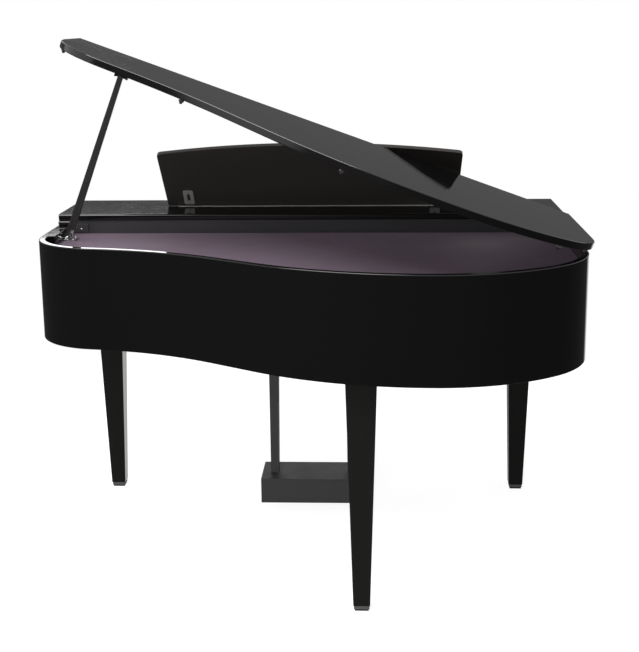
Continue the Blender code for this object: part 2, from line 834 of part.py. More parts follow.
def make_sharps(name, first, last):
    """The sharps after the naturals first to last, joined by a bar that clears the naturals."""
    places = [index for index in range(first, last + 1) if has_sharp(index)]
    start = sum(sharp_slot(places[0])) / 2
    end = sum(sharp_slot(places[-1])) / 2
    bar = block(
        name,
        (start, SHARP_BAR_FRONT, KEY_TOP + SHARP_BAR_RAISE),
        (end, SHARP_BAR_BACK, KEY_TOP + SHARP_RISE - KEY_SPACE),
    )
    hang(bar, key_axis(name))
    pieces = [sharp_block(f"{name}_{index}", index) for index in places]
    paint(join(bar, *pieces), EBONY)


def make_key_frame():
    side = WAIST - CHEEK_WIDTH - KEY_SPACE
    low = BOARD_TOP + GAP
    front = KEY_FRONT + KEY_SPACE
    base = block("key_frame", (-side, front, low), (side, KEY_PIVOT_Y + 2 * KEY_TAIL, low + FRAME_BASE))
    rest = block(
        "front_rest",
        (-side + GAP, FRONT_REST_Y, low + FRAME_BASE / 2),
        (side - GAP, FRONT_REST_Y + FRONT_REST_DEPTH, KEY_BOTTOM - FRONT_REST_DROP),
    )
    balance = block(
        "balance_rail",
        (-side + GAP, BALANCE_FRONT, low + FRAME_BASE / 2),
        (side - GAP, KEY_PIVOT_Y + KEY_TAIL, KEY_BOTTOM - GAP),
    )
    paint(join(base, rest, balance), BARE_WOOD)


def make_keyboard():
    middle_c = 2 + 3 * 7
    make_key_frame()
    make_naturals("naturals_low", 0, middle_c - 1)
    make_naturals("naturals_high", middle_c + 3, NATURAL_COUNT - 1)
    make_sharps("sharps_low", 0, middle_c - 1)
    make_sharps("sharps_high", middle_c + 3, NATURAL_COUNT - 1)
    for offset, letter in enumerate("cde"):
        make_naturals(f"key_{letter}4", middle_c + offset, middle_c + offset)
    make_sharp("key_c4_sharp", middle_c)
    make_sharp("key_d4_sharp", middle_c + 1)


def make_legs():
    for name, x, y in (
        ("leg_treble", FRONT_LEG_X, FRONT_LEG_Y),
        ("leg_bass", -FRONT_LEG_X, FRONT_LEG_Y),
        ("leg_rear", REAR_LEG_X, REAR_LEG_Y),
    ):
        half = LEG_PLATE_SIDE / 2
        leg = tapered_post(
            name,
            (x, y, GLIDE_HEIGHT + GAP),
            (LEG_FOOT, LEG_FOOT),
            (x, y, PLATE_BOTTOM - GAP),
            (LEG_TOP, LEG_TOP),
        )
        paint(leg, POLISHED_BLACK)
        plate_top = PLATE_BOTTOM + LEG_PLATE
        mount = block(name + "_plate", (x - half, y - half, PLATE_BOTTOM), (x + half, y + half, plate_top))
        paint(mount, STEEL)
        foot = GLIDE_SIDE / 2
        glide_name = name.replace("leg", "glide")
        glide = block(glide_name, (x - foot, y - foot, 0), (x + foot, y + foot, GLIDE_HEIGHT))
        paint(glide, SATIN_GREY)


def make_lyre():
    for name, side in (("lyre_post_treble", 1), ("lyre_post_bass", -1)):
        post = tapered_post(
            name,
            (side * POST_FOOT_X, LYRE_Y, BOX_TOP + GAP),
            (POST_FOOT_WIDTH, POST_FOOT_DEPTH),
            (side * POST_TOP_X, LYRE_Y, BOARD_BOTTOM - GAP),
            (POST_TOP_WIDTH, POST_TOP_DEPTH),
        )
        paint(post, SATIN_GREY)
    make_pedal_box()
    half = PEDAL_BOX_WIDTH / 2
    cover = block("pedal_cover", (-half, BOX_FRONT, BOX_TOP - PEDAL_COVER), (half, BOX_BACK, BOX_TOP))
    paint(cover, SATIN_BLACK)
    axle = rod(
        "pedal_axle", (-AXLE_HALF, PEDAL_PIVOT_Y, PEDAL_Z), (AXLE_HALF, PEDAL_PIVOT_Y, PEDAL_Z), AXLE_RADIUS
    )
    paint(axle, STEEL)


def make_pedal_box():
    half = PEDAL_BOX_WIDTH / 2
    inner = half - PEDAL_BOX_WALL
    top = BOX_TOP - PEDAL_COVER - GAP
    floor = PEDAL_BOX_BOTTOM + PEDAL_BOX_WALL
    box = block("pedal_box", (-half, BOX_FRONT, PEDAL_BOX_BOTTOM), (half, BOX_BACK, top))
    room = block(
        "pedal_room",
        (-inner, BOX_FRONT + PEDAL_BOX_WALL, floor),
        (inner, BOX_BACK - PEDAL_BOX_WALL, top + PEDAL_BOX_WALL),
    )
    cut(box, room)
    reach = PEDAL_HUB_RADIUS + AXLE_RIB / 2
    for name, side in (("axle_rib_treble", 1), ("axle_rib_bass", -1)):
        middle = side * (AXLE_RIB_X + AXLE_RIB / 2)
        rib = block(
            name,
            (middle - AXLE_RIB / 2, PEDAL_PIVOT_Y - reach, floor - PEDAL_BOX_WALL / 2),
            (middle + AXLE_RIB / 2, PEDAL_PIVOT_Y + reach, PEDAL_Z + reach),
        )
        join(box, rib)
    end = AXLE_HALF + AXLE_RIB
    bore = rod("axle_bore", (-end, PEDAL_PIVOT_Y, PEDAL_Z), (end, PEDAL_PIVOT_Y, PEDAL_Z), AXLE_RADIUS + GAP)
    cut(box, bore)
    drop = math.tan(math.radians(PEDAL_TRAVEL)) * (PEDAL_PIVOT_Y - BOX_FRONT)
    clear = PEDAL_SHANK / 2 + 5 * GAP
    for name, x in pedal_places():
        slot = block(
            name + "_slot",
            (x - clear, BOX_FRONT - PEDAL_BOX_WALL, PEDAL_Z - PEDAL_THICKNESS / 2 - drop - 5 * GAP),
            (x + clear, BOX_FRONT + 2 * PEDAL_BOX_WALL, PEDAL_Z + PEDAL_THICKNESS / 2 + 5 * GAP),
        )
        cut(box, slot)
    paint(box, SATIN_BLACK)


def pedal_places():
    return ("pedal_left", -PEDAL_SPACING), ("pedal_middle", 0), ("pedal_right", PEDAL_SPACING)


def make_pedals():
    shank = PEDAL_SHANK / 2
    toe = PEDAL_TOE / 2
    back = PEDAL_PIVOT_Y + PEDAL_HUB_RADIUS / 2
    toe_back = PEDAL_TIP_Y + PEDAL_TOE_LENGTH
    for name, x in pedal_places():
        outline = rounded(
            [
                (x - shank, back, 0),
                (x - shank, toe_back + PEDAL_TOE_TAPER, 0),
                (x - toe, toe_back, toe / 2),
                (x - toe, PEDAL_TIP_Y, toe * 0.9),
                (x + toe, PEDAL_TIP_Y, toe * 0.9),
                (x + toe, toe_back, toe / 2),
                (x + shank, toe_back + PEDAL_TOE_TAPER, 0),
                (x + shank, back, 0),
            ]
        )
        low = PEDAL_Z - PEDAL_THICKNESS / 2
        pedal = as_mesh(plate(name, [outline], low, low + PEDAL_THICKNESS))
        axis = add_empty(name + "_axis", (x, PEDAL_PIVOT_Y, PEDAL_Z), parent=ORIGIN)
        hang(pedal, axis)
        ends = (x - shank + GAP, PEDAL_PIVOT_Y, PEDAL_Z), (x + shank - GAP, PEDAL_PIVOT_Y, PEDAL_Z)
        join(pedal, rod(name + "_hub", *ends, PEDAL_HUB_RADIUS))
        far = (x - PEDAL_SHANK, PEDAL_PIVOT_Y, PEDAL_Z), (x + PEDAL_SHANK, PEDAL_PIVOT_Y, PEDAL_Z)
        cut(pedal, rod(name + "_bore", *far, AXLE_RADIUS + GAP))
        paint(pedal, BRASS)


def make_lid(pivot):
    edge = [tuple(point) for point in rim_line(-LID_OVERHANG, LID_FRONT)]
    paint(hang(plate("lid", [edge], LID_BOTTOM, LID_BOTTOM + LID), pivot), POLISHED_BLACK)


def make_hinge(name, middle, pivot):
    """A case leaf with two knuckles and the pin, and a lid leaf with the knuckle between them."""
    x = LID_AXIS.x
    z = LID_AXIS.z
    low = middle - HINGE_LENGTH / 2
    third = HINGE_LENGTH / 3
    plate_x = x + KNUCKLE_RADIUS + GAP
    far_x = x + KNUCKLE_RADIUS + HINGE_REACH
    case_low = CASE_TOP + GAP
    lid_low = LID_BOTTOM - GAP - HINGE_LEAF
    case_leaf = block(
        f"case_leaf_{name}", (plate_x, low, case_low), (far_x, low + HINGE_LENGTH, case_low + HINGE_LEAF)
    )
    for end, start in (("front", low), ("back", low + 2 * third + GAP)):
        tab = block(
            f"{name}_{end}_tab",
            (x, start, case_low),
            (plate_x + GAP, start + third - GAP, case_low + HINGE_LEAF),
        )
        knuckle = rod(
            f"{name}_{end}_knuckle", (x, start, z), (x, start + third - GAP, z), KNUCKLE_RADIUS, 16
        )
        join(case_leaf, tab, knuckle)
    pin_ends = (x, low + GAP, z), (x, low + HINGE_LENGTH - GAP, z)
    join(case_leaf, rod(f"{name}_pin", *pin_ends, HINGE_PIN_RADIUS, 12))
    paint(case_leaf, STEEL)
    lid_leaf = block(
        f"lid_leaf_{name}", (plate_x, low, lid_low), (far_x, low + HINGE_LENGTH, lid_low + HINGE_LEAF)
    )
    start = low + third + GAP
    end = low + 2 * third - GAP
    tab = block(f"{name}_lid_tab", (x, start, lid_low), (plate_x + GAP, end, lid_low + HINGE_LEAF))
    knuckle = rod(f"{name}_lid_knuckle", (x, start, z), (x, end, z), KNUCKLE_RADIUS, 16)
    bore = rod(f"{name}_lid_bore", (x, low, z), (x, low + HINGE_LENGTH, z), HINGE_PIN_RADIUS + GAP, 12)
    for piece in (lid_leaf, tab, knuckle, bore):
        hang(piece, pivot)
    join(lid_leaf, tab, knuckle)
    paint(cut(lid_leaf, bore), STEEL)


def prop_lines():
    """The prop's pivot, its direction and reach at rest, and its slanting swivel pin's direction."""
    pivot = Vector((WAIST - PROP_ARM_OFFSET, PROP_PIVOT_Y, CASE_TOP - PROP_PIVOT_DROP))
    rest = Vector((PROP_REST_X, PROP_REST_Y, lid_lift(PROP_REST_X)))
    along = (rest - pivot).normalized()
    heading = math.radians(PROP_STOWED_HEADING)
    stowed = Vector((math.cos(heading), math.sin(heading), 0))
    tilt = math.radians(PROP_PIN_TILT)
    across = along.cross(stowed).normalized()
    pin = (along + stowed).normalized() * math.cos(tilt) + across * math.sin(tilt)
    return pivot, along, (rest - pivot).length, pin


def make_prop():
    pivot, along, reach, pin = prop_lines()
    thick = Vector((0, 1, 0)) - along * along.y
    thick.normalize()
    wide = along.cross(thick)
    swivel = add_empty("prop_swivel", pivot, parent=ORIGIN)
    slope = math.radians(LID_ANGLE)
    normal = Vector((-math.sin(slope), 0, math.cos(slope)))
    under = Vector((PROP_REST_X, PROP_REST_Y, lid_lift(PROP_REST_X))) - normal * PROP_END_GAP - pivot
    mesh = bpy.data.meshes.new("prop")
    shape = bmesh.new()
    bmesh.ops.create_cube(shape, size=2)
    for vert in shape.verts:
        at_top = vert.co.z > 0
        width = PROP_TOP_WIDTH if at_top else PROP_FOOT_WIDTH
        side = wide * vert.co.x * width / 2 + thick * vert.co.y * PROP_THICKNESS / 2
        rise = (under - side).dot(normal) / along.dot(normal) if at_top else 0
        vert.co = side + along * rise
    bmesh.ops.recalc_face_normals(shape, faces=shape.faces)
    shape.to_mesh(mesh)
    shape.free()
    bar = add_piece("prop", mesh, pivot)
    hub = rod("prop_hub", pivot - pin * SWIVEL_LOW, pivot + pin * SWIVEL_HIGH, SWIVEL_RADIUS)
    bore_ends = pivot - pin * 2 * SWIVEL_LOW, pivot + pin * (PROP_PIN_HIGH + GAP)
    bore = rod("prop_bore", *bore_ends, PROP_PIN_RADIUS + GAP, 16)
    for piece in (bar, hub, bore):
        hang(piece, swivel)
    join(bar, hub)
    paint(cut(bar, bore), SATIN_BLACK)


def make_prop_bracket():
    pivot, _, _, pin = prop_lines()
    wall = WAIST - GAP
    floor = SOUND_TOP + GAP
    foot = block(
        "prop_bracket",
        (pivot.x - BRACKET_REACH, pivot.y - BRACKET_HALF_LENGTH, floor),
        (wall, pivot.y + BRACKET_HALF_LENGTH, floor + BRACKET_PLATE),
    )
    boss_ends = pivot - pin * (SWIVEL_LOW + GAP), pivot - pin * (PROP_PIN_LOW + SWIVEL_RADIUS / 2)
    boss = rod("bracket_boss", *boss_ends, SWIVEL_RADIUS)
    room = block(
        "bracket_room",
        (pivot.x - BRACKET_REACH - GAP, pivot.y - 3 * BRACKET_HALF_LENGTH, floor),
        (wall, pivot.y + 3 * BRACKET_HALF_LENGTH, CASE_TOP),
    )
    socket = rod("bracket_socket", pivot, pivot - pin * (PROP_PIN_LOW + GAP), PROP_PIN_RADIUS + GAP, 16)
    join(foot, boss)
    trim(foot, room)
    paint(cut(foot, socket), STEEL)
    ends = pivot - pin * PROP_PIN_LOW, pivot + pin * PROP_PIN_HIGH
    paint(rod("prop_pin", *ends, PROP_PIN_RADIUS, 16), STEEL)


def make_prop_cup(pivot):
    """A three-sided stop under the lid, open on the side to which the prop leaves."""
    slope = math.radians(LID_ANGLE)
    reach = PROP_REST_X - LID_AXIS.x
    rise = lid_lift(PROP_REST_X) - LID_AXIS.z
    x = LID_AXIS.x + reach * math.cos(slope) + rise * math.sin(slope)
    top = LID_BOTTOM - GAP
    low = top - CUP_HEIGHT
    half = PROP_TOP_WIDTH / 2 + CUP_SIDE_ROOM
    back = PROP_REST_Y - PROP_THICKNESS / 2 - CUP_BACK_ROOM
    outline = [
        (x - half - CUP_WALL, back - CUP_WALL),
        (x + half + CUP_WALL, back - CUP_WALL),
        (x + half + CUP_WALL, back + CUP_DEPTH),
        (x + half, back + CUP_DEPTH),
        (x + half, back),
        (x - half, back),
        (x - half, back + CUP_DEPTH),
        (x - half - CUP_WALL, back + CUP_DEPTH),
    ]
    paint(hang(plate("prop_cup", [outline], low, top), pivot), SATIN_BLACK)


def make_lid_group():
    pivot = add_empty("lid_axis", LID_AXIS, (0, -LID_ANGLE, 0), ORIGIN)
    make_lid(pivot)
    for name, middle in zip(("front", "rear"), HINGE_CENTRES):
        make_hinge(name, middle, pivot)
    make_prop_cup(pivot)
    make_prop()
    make_prop_bracket()


def desk_outline():
    """The desk's board: narrower at its foot, with rounded corners and an arched top."""
    foot = DESK_FOOT_WIDTH / 2
    top = DESK_TOP_WIDTH / 2
    rise = DESK_HEIGHT - DESK_SIDE_HEIGHT
    arch = []
    for step in range(1, DESK_ARCH_STEPS):
        x = top - 2 * top * step / DESK_ARCH_STEPS
        arch.append((x, DESK_HEIGHT - rise * (x / top) ** 2, 0))
    corners = [(-foot, 0, 0), (foot, 0, 0), (top, DESK_SIDE_HEIGHT, DESK_CORNER)]
    return rounded([*corners, *arch, (-top, DESK_SIDE_HEIGHT, DESK_CORNER)], 4)


def make_music_desk():
    top = TOP_BOARD_BOTTOM + TOP_BOARD
    frame = add_empty("music_desk_axis", (0, DESK_Y, top + GAP), (90 - DESK_LEAN, 0, 0), ORIGIN)
    desk = on_frame(as_mesh(plate("music_desk", [desk_outline()], 0, DESK_THICKNESS)), frame)
    ledge = block(
        "desk_ledge",
        (-LEDGE_WIDTH / 2, LEDGE_RAISE, DESK_THICKNESS / 2),
        (LEDGE_WIDTH / 2, LEDGE_RAISE + LEDGE_THICKNESS, DESK_THICKNESS + LEDGE_DEPTH),
    )
    paint(join(desk, on_frame(ledge, frame)), POLISHED_BLACK)
    for name, x in (("desk_stay_treble", STAY_X), ("desk_stay_bass", -STAY_X)):
        half = STAY_WIDTH / 2
        radius = STAY_WIDTH / 6
        outer = rectangle(x - half, STAY_LOW, x + half, STAY_HIGH)
        outer = rounded([(*corner, radius) for corner in outer], 3)
        middle = (STAY_LOW + STAY_HIGH) / 2
        slot_low = middle - SLOT_LENGTH / 2
        slot = rectangle(x - SLOT_WIDTH / 2, slot_low, x + SLOT_WIDTH / 2, slot_low + SLOT_LENGTH)
        slot = rounded([(*corner, SLOT_WIDTH / 2.1) for corner in slot], 3)
        stay = plate(name, [outer, slot], -GAP - STAY_PLATE, -GAP)
        paint(on_frame(stay, frame), SATIN_GREY)


def make_speakers():
    """A basket with its flange over a hole in the bottom board and its cone open downwards."""
    rim = SPEAKER_RADIUS + SPEAKER_FLANGE
    low = BOARD_TOP + GAP
    magnet = SPEAKER_RADIUS * 0.6
    profile = [
        (0, SPEAKER_DEPTH),
        (magnet, SPEAKER_DEPTH),
        (magnet, SPEAKER_DEPTH * 0.6),
        (SPEAKER_RADIUS * 0.9, SPEAKER_FLANGE),
        (rim, SPEAKER_FLANGE * 0.6),
        (rim, 0),
        (SPEAKER_RADIUS, 0),
        (SPEAKER_RADIUS * 0.88, SPEAKER_FLANGE * 0.5),
        (SPEAKER_RADIUS * 0.35, SPEAKER_DEPTH * 0.5),
        (0, SPEAKER_DEPTH * 0.35),
    ]
    for name, x, y in SPEAKER_PLACES:
        speaker = turned(name, profile)
        speaker.location = (x, y, low)
        paint(speaker, MATTE_BLACK)


def make_circuit():
    low = BOARD_TOP + GAP
    half = CIRCUIT_LENGTH / 2
    deep = CIRCUIT_DEPTH / 2
    lift = low + CIRCUIT_LIFT
    root = lift + CIRCUIT_SHEET / 2
    card = block(
        "amplifier_board",
        (CIRCUIT_X - half, CIRCUIT_Y - deep, lift),
        (CIRCUIT_X + half, CIRCUIT_Y + deep, lift + CIRCUIT_SHEET),
    )
    for number, (side, end) in enumerate(((-1, -1), (-1, 1), (1, -1), (1, 1))):
        x = CIRCUIT_X + side * (half - STANDOFF)
        y = CIRCUIT_Y + end * (deep - STANDOFF)
        join(card, rod(f"standoff_{number}", (x, y, low), (x, y, root), STANDOFF / 2, 8))
    coil = block(
        "transformer",
        (CIRCUIT_X - half * 0.8, CIRCUIT_Y - deep * 0.6, root),
        (CIRCUIT_X - half * 0.3, CIRCUIT_Y + deep * 0.4, lift + TRANSFORMER_HEIGHT),
    )
    sink = block(
        "heat_sink",
        (CIRCUIT_X + half * 0.2, CIRCUIT_Y + deep * 0.5, root),
        (CIRCUIT_X + half * 0.9, CIRCUIT_Y + deep * 0.8, lift + HEAT_SINK_HEIGHT),
    )
    join(card, coil, sink)
    for number, share in enumerate((0.1, 0.35)):
        x = CIRCUIT_X + half * share
        y = CIRCUIT_Y - deep * 0.4
        capacitor = rod(
            f"capacitor_{number}", (x, y, root), (x, y, lift + CAPACITOR_HEIGHT), CAPACITOR_RADIUS, 12
        )
        join(card, capacitor)
    paint(card, CIRCUIT_GREEN)


def make_socket_box():
    """The box under the case with the mains inlet and two jacks facing the tail."""
    top = BOARD_BOTTOM - GAP
    low = top - SOCKET_BOX_HEIGHT
    half = SOCKET_BOX_WIDTH / 2
    back = SOCKET_BOX_Y + SOCKET_BOX_DEPTH / 2
    front = back - SOCKET_BOX_DEPTH
    box = block("socket_box", (SOCKET_BOX_X - half, front, low), (SOCKET_BOX_X + half, back, top))
    middle = (low + top) / 2
    inlet_x = SOCKET_BOX_X - half / 2
    inlet = block(
        "inlet",
        (inlet_x - INLET_WIDTH / 2, back - INLET_DEPTH, middle - INLET_HEIGHT / 2),
        (inlet_x + INLET_WIDTH / 2, back + INLET_DEPTH, middle + INLET_HEIGHT / 2),
    )
    jacks = []
    for number, share in enumerate((0.15, 0.55)):
        x = SOCKET_BOX_X + half * share
        ends = (x, back - INLET_DEPTH, middle), (x, back + INLET_DEPTH, middle)
        jacks.append(rod(f"jack_{number}", *ends, JACK_RADIUS, 16))
    paint(cut(box, inlet, *jacks), SATIN_BLACK)


make_rim()
make_arms()
make_boards()
make_rear_rail()
make_top_board()
make_key_surround()
make_key_cover()
make_control_panel()
make_button("power_button", POWER_X, POWER_RADIUS, SATIN_BLACK)
make_button("voice_button", VOICE_X, BUTTON_RADIUS, SATIN_BLACK)
make_button("metronome_button", METRONOME_X, BUTTON_RADIUS, SATIN_BLACK)
make_volume_knob()
make_keyboard()
make_legs()
make_lyre()
make_pedals()
make_lid_group()
make_music_desk()
make_speakers()
make_circuit()
make_socket_box()
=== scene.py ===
# %% [markdown]
# # A digital grand piano, dressed for its picture
#
# The frame that is loaded here is the piano's engineering model: 59 solids on 21 bodies, in metres, with the keys
# toward -Y and the tail toward +Y. It already has the right sizes and joints. What it lacks is what the eye looks
# for: rounded arrises, smooth bends, screws, and finishes that answer to light. Each cell below adds one of these,
# and every new piece rides on the body that carries it, so that the lid, prop, desk, keys and pedals still move.

# %% Load the frame
import math

import bmesh
import bpy
from mathutils import Matrix, Vector


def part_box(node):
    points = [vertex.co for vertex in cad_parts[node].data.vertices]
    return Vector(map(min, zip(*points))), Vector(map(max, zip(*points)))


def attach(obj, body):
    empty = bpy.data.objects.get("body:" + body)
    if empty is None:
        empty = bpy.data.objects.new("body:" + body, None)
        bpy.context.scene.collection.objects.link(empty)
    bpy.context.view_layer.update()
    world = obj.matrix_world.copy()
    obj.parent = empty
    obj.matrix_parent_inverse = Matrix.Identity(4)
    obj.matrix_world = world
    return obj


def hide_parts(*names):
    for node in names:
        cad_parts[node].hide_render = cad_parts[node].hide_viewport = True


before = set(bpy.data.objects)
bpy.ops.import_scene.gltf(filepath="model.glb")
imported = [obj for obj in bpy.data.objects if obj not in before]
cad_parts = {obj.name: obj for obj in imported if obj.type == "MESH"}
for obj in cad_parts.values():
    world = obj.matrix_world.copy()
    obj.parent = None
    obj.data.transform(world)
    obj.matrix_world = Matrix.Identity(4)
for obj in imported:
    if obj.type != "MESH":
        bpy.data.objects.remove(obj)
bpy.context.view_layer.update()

scene = bpy.context.scene

# %% [markdown]
# ## Sizes that several pieces share
#
# A cabinet maker works from a short list of sizes. The same list serves here, in the case's own coordinates: x runs
# from bass to treble, y is 0 at the front of the arms, z is 0 on the floor. The frame has the piano centred, so one
# shift takes case coordinates to the frame. It could be typed, but reading it from the treble arm's box means that
# it can never be wrong.

# %% Case sizes
CASE_WIDTH = 1.430
CASE_BOTTOM = 0.599
CASE_TOP = 0.8655
RIM_WALL = 0.018
ARM_WALL = 0.037
RAIL_BACK = 0.4465
BOARD_UNDER = 0.8775  # underside of the front board and of the shut lid
BOARD_OVER = 0.8955  # top of both
GAP = 0.0003  # air between two solids that meet

HALF = CASE_WIDTH / 2
WAIST = HALF - ARM_WALL
UP, DOWN, BACK = (0, 0, 1), (0, 0, -1), (0, 1, 0)

arm_low, arm_high = (Vector(corner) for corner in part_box("arm_treble"))
CENTRE = Vector((arm_high.x - HALF, arm_low.y, 0))
ARM_END = arm_high.y - CENTRE.y
CASE = Matrix.Translation(CENTRE)


def case_box(node):
    """The lowest and highest corner of a solid, in case coordinates."""
    return [Vector(corner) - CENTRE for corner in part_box(node)]


print("case origin in the frame", tuple(round(value, 4) for value in CENTRE), "arms end at", round(ARM_END, 4))

# %% [markdown]
# ## The camera
#
# The photograph was solved for its camera: a lens of 71 mm on a 36 mm sensor, 1.43 m above the floor, looking 13.5
# degrees down at the tail, with less than 3 degrees of yaw and a slight roll. The solved vectors could be typed in.
# Building them from the three angles keeps each angle readable, and lets one be changed by itself.

# %% Camera
CAMERA_PLACE = CENTRE + Vector((-0.1972, 4.0495, 1.4308))
PITCH, YAW, ROLL = math.radians(13.45), math.radians(2.72), math.radians(-0.59)
LENS, SENSOR = 71.0, 36


def add_object(name, data):
    """Puts a mesh, lamp or camera into the scene."""
    made = bpy.data.objects.new(name, data)
    scene.collection.objects.link(made)
    return made


camera = add_object("studio_camera", bpy.data.cameras.new("studio_camera"))
camera.data.lens = LENS
camera.data.sensor_width = SENSOR
forward = Vector((math.sin(YAW) * math.cos(PITCH), -math.cos(YAW) * math.cos(PITCH), -math.sin(PITCH)))
level = forward.cross(Vector(UP)).normalized()
upright = level.cross(forward)
right = math.cos(ROLL) * level + math.sin(ROLL) * upright
up = -math.sin(ROLL) * level + math.cos(ROLL) * upright
turn = Matrix((right, up, -forward)).transposed().to_4x4()
camera.matrix_world = Matrix.Translation(CAMERA_PLACE) @ turn
scene.camera = camera
print("camera looks along", tuple(round(value, 3) for value in forward))

# %% [markdown]
# ## Tools for finishes
#
# A real finish is never one flat colour. Lacquer ripples a little where it was sprayed, plastic keeps the grain of
# its mould, and hands leave some places smoother than others. Painted images could carry that, but nodes need no
# file and stay sharp at any distance. Every finish starts as a Principled shader whose plain values sit on its own
# sockets. Two noises in object space are then laid over it: one varies the roughness, one lifts the surface.

# %% Nodes and their sockets
def set_sockets(owner, node, values):
    """Gives a plain value or another node's output to sockets, whose names have underscores for spaces."""
    for key, value in values.items():
        socket = node.inputs[key.replace("_", " ")]
        if isinstance(value, bpy.types.NodeSocket):
            owner.node_tree.links.new(value, socket)
        else:
            socket.default_value = value


def add_node(owner, kind, options=(), **values):
    """A node in a material or world, with its options and then its sockets set."""
    node = owner.node_tree.nodes.new(kind)
    for key, value in dict(options).items():
        setattr(node, key, value)
    set_sockets(owner, node, values)
    return node


def span(owner, source, low, high, start=0.3, end=0.7):
    """Maps start and end of a source to low and high; most of a noise lies between 0.3 and 0.7."""
    node = add_node(owner, "ShaderNodeMapRange", Value=source, From_Min=start, From_Max=end, To_Min=low, To_Max=high)
    return node.outputs["Result"]


def mix_colours(owner, share, first, second):
    node = add_node(owner, "ShaderNodeMix", {"data_type": "RGBA"}, Factor=share, A=first, B=second)
    return node.outputs["Result"]


def object_space(material, stretch=(1, 1, 1)):
    """Object coordinates; a small factor makes a pattern run long along that axis."""
    coordinates = add_node(material, "ShaderNodeTexCoord").outputs["Object"]
    return add_node(material, "ShaderNodeMapping", Vector=coordinates, Scale=stretch).outputs["Vector"]


def noise(material, scale, detail, roughness, stretch):
    node = add_node(material, "ShaderNodeTexNoise", Vector=object_space(material, stretch), Scale=scale,
                    Detail=detail, Roughness=roughness)
    return node.outputs["Fac"]


def surface(material, **values):
    set_sockets(material, material.node_tree.nodes["Principled BSDF"], values)


def new_finish(name, colour, roughness, metallic=0.0):
    material = bpy.data.materials.new(name)
    material.use_nodes = True
    material.diffuse_color = (*colour, 1)
    surface(material, Base_Color=(*colour, 1), Roughness=roughness, Metallic=metallic)
    print("finish:", name)
    return material


def vary_roughness(material, scale, low, high, stretch=(1, 1, 1)):
    surface(material, Roughness=span(material, noise(material, scale, 4.0, 0.6, stretch), low, high))


def vary_colour(material, scale, dark, light, stretch=(1, 1, 1), detail=3.0):
    share = span(material, noise(material, scale, detail, 0.55, stretch), 0, 1)
    surface(material, Base_Color=mix_colours(material, share, (*dark, 1), (*light, 1)))


def lift(material, height, depth):
    """Bump from a height in 0 to 1; depth is the real relief in metres, on top of any relief already there."""
    bump = add_node(material, "ShaderNodeBump", Height=height, Distance=depth)
    normal = material.node_tree.nodes["Principled BSDF"].inputs["Normal"]
    if normal.is_linked:
        set_sockets(material, bump, {"Normal": normal.links[0].from_socket})
    surface(material, Normal=bump.outputs["Normal"])


def lift_by_noise(material, scale, depth, stretch=(1, 1, 1), detail=2.0):
    lift(material, noise(material, scale, detail, 0.5, stretch), depth)


# %% [markdown]
# ## Black polyester lacquer
#
# Piano black is a thick polyester coat, sanded flat and buffed. It mirrors the room, with a faint long ripple left
# by the sanding block and a haze of hair-fine polishing marks. A clear coat over black paint could be used, but a
# single smooth dark layer reflects the same and has no second highlight. The ripple is only micrometres deep: more
# would turn a piano into a puddle. The desk's back has a coat with more haze, and its colour is painted lighter and
# warmer as painted light, for the light that the top board throws onto it. The legs' coat is a shade greyer.

# %% Black lacquer
def lacquer(name, colour, low, high):
    material = new_finish(name, colour, (low + high) / 2)
    vary_roughness(material, 7.0, low, high)
    lift_by_noise(material, 9.0, 0.00006, detail=1.0)
    lift_by_noise(material, 260.0, 0.0000012, stretch=(1, 0.2, 1))
    return material


LACQUER = lacquer("black_lacquer", (0.0042, 0.0041, 0.0042), 0.035, 0.075)
# The desk's lighter, warmer colour is painted light thrown up from the top board; its wider roughness is a real
# hazier coat.
DESK_PAINTED_LIGHT_LACQUER = lacquer("desk_painted_light_lacquer", (0.0300, 0.0270, 0.0250), 0.12, 0.20)
LEG_LACQUER = lacquer("leg_lacquer", (0.0110, 0.0110, 0.0104), 0.05, 0.10)

# %% [markdown]
# ## Satin blacks and greys
#
# The rail and the lyre are painted metal: a satin grey powder coat with a fine orange-peel skin, on the lyre so dull
# that it hardly mirrors. Controls and boxes are moulded plastic with the grain of the tool. Both are the same recipe
# at other scales, so one helper makes them from a colour, a roughness range, a grain size and a grain depth.

# %% Satin finishes
def satin(name, colour, low, high, grain, depth):
    material = new_finish(name, colour, (low + high) / 2)
    vary_roughness(material, 14.0, low, high)
    lift_by_noise(material, grain, depth, detail=3.0)
    return material


BLACK_SATIN = satin("black_satin", (0.016, 0.016, 0.017), 0.32, 0.46, 900.0, 0.00003)
GREY_RAIL = satin("grey_rail", (0.034, 0.032, 0.035), 0.34, 0.48, 700.0, 0.00004)
GREY_METAL = satin("grey_metal", (0.056, 0.056, 0.057), 0.46, 0.60, 800.0, 0.00004)
surface(GREY_METAL, Specular_IOR_Level=0.3)
GLIDE_GREY = satin("glide_grey", (0.095, 0.095, 0.095), 0.38, 0.55, 600.0, 0.00005)
STAY_GREY = satin("stay_grey", (0.190, 0.190, 0.182), 0.36, 0.50, 800.0, 0.00004)
# This light grey is a painted highlight: the desk hinge is drawn in it for the bright lines along its edges.
DESK_HINGE_PAINTED_HIGHLIGHT = satin("desk_hinge_painted_highlight", (0.42, 0.42, 0.41), 0.30, 0.42, 900.0, 0.00002)
# The prop's grey is lighter than its black paint: painted reflection of the bright wall its side mirrors, over a real
# glossier satin.
PROP_PAINTED_REFLECTION = satin("prop_painted_reflection", (0.030, 0.029, 0.028), 0.16, 0.26, 900.0, 0.00002)
DARK_PLASTIC = satin("dark_plastic", (0.013, 0.013, 0.014), 0.40, 0.60, 1400.0, 0.00006)
RUBBER = satin("soft_rubber", (0.020, 0.020, 0.021), 0.70, 0.88, 1100.0, 0.00008)

# %% [markdown]
# ## The sound panel's film
#
# In place of a soundboard, a digital grand has a board covered with a matt printed film. In the photograph it is a
# dusty purple-grey with a very fine fleck and a soft sheen at a low angle. Real flecks are fractions of a
# millimetre, so they are mixed into the colour from one fine noise, and a slower one clouds the film's roughness. The
# sheen has the film's own tint, because at a low angle a white one would wash the purple out.

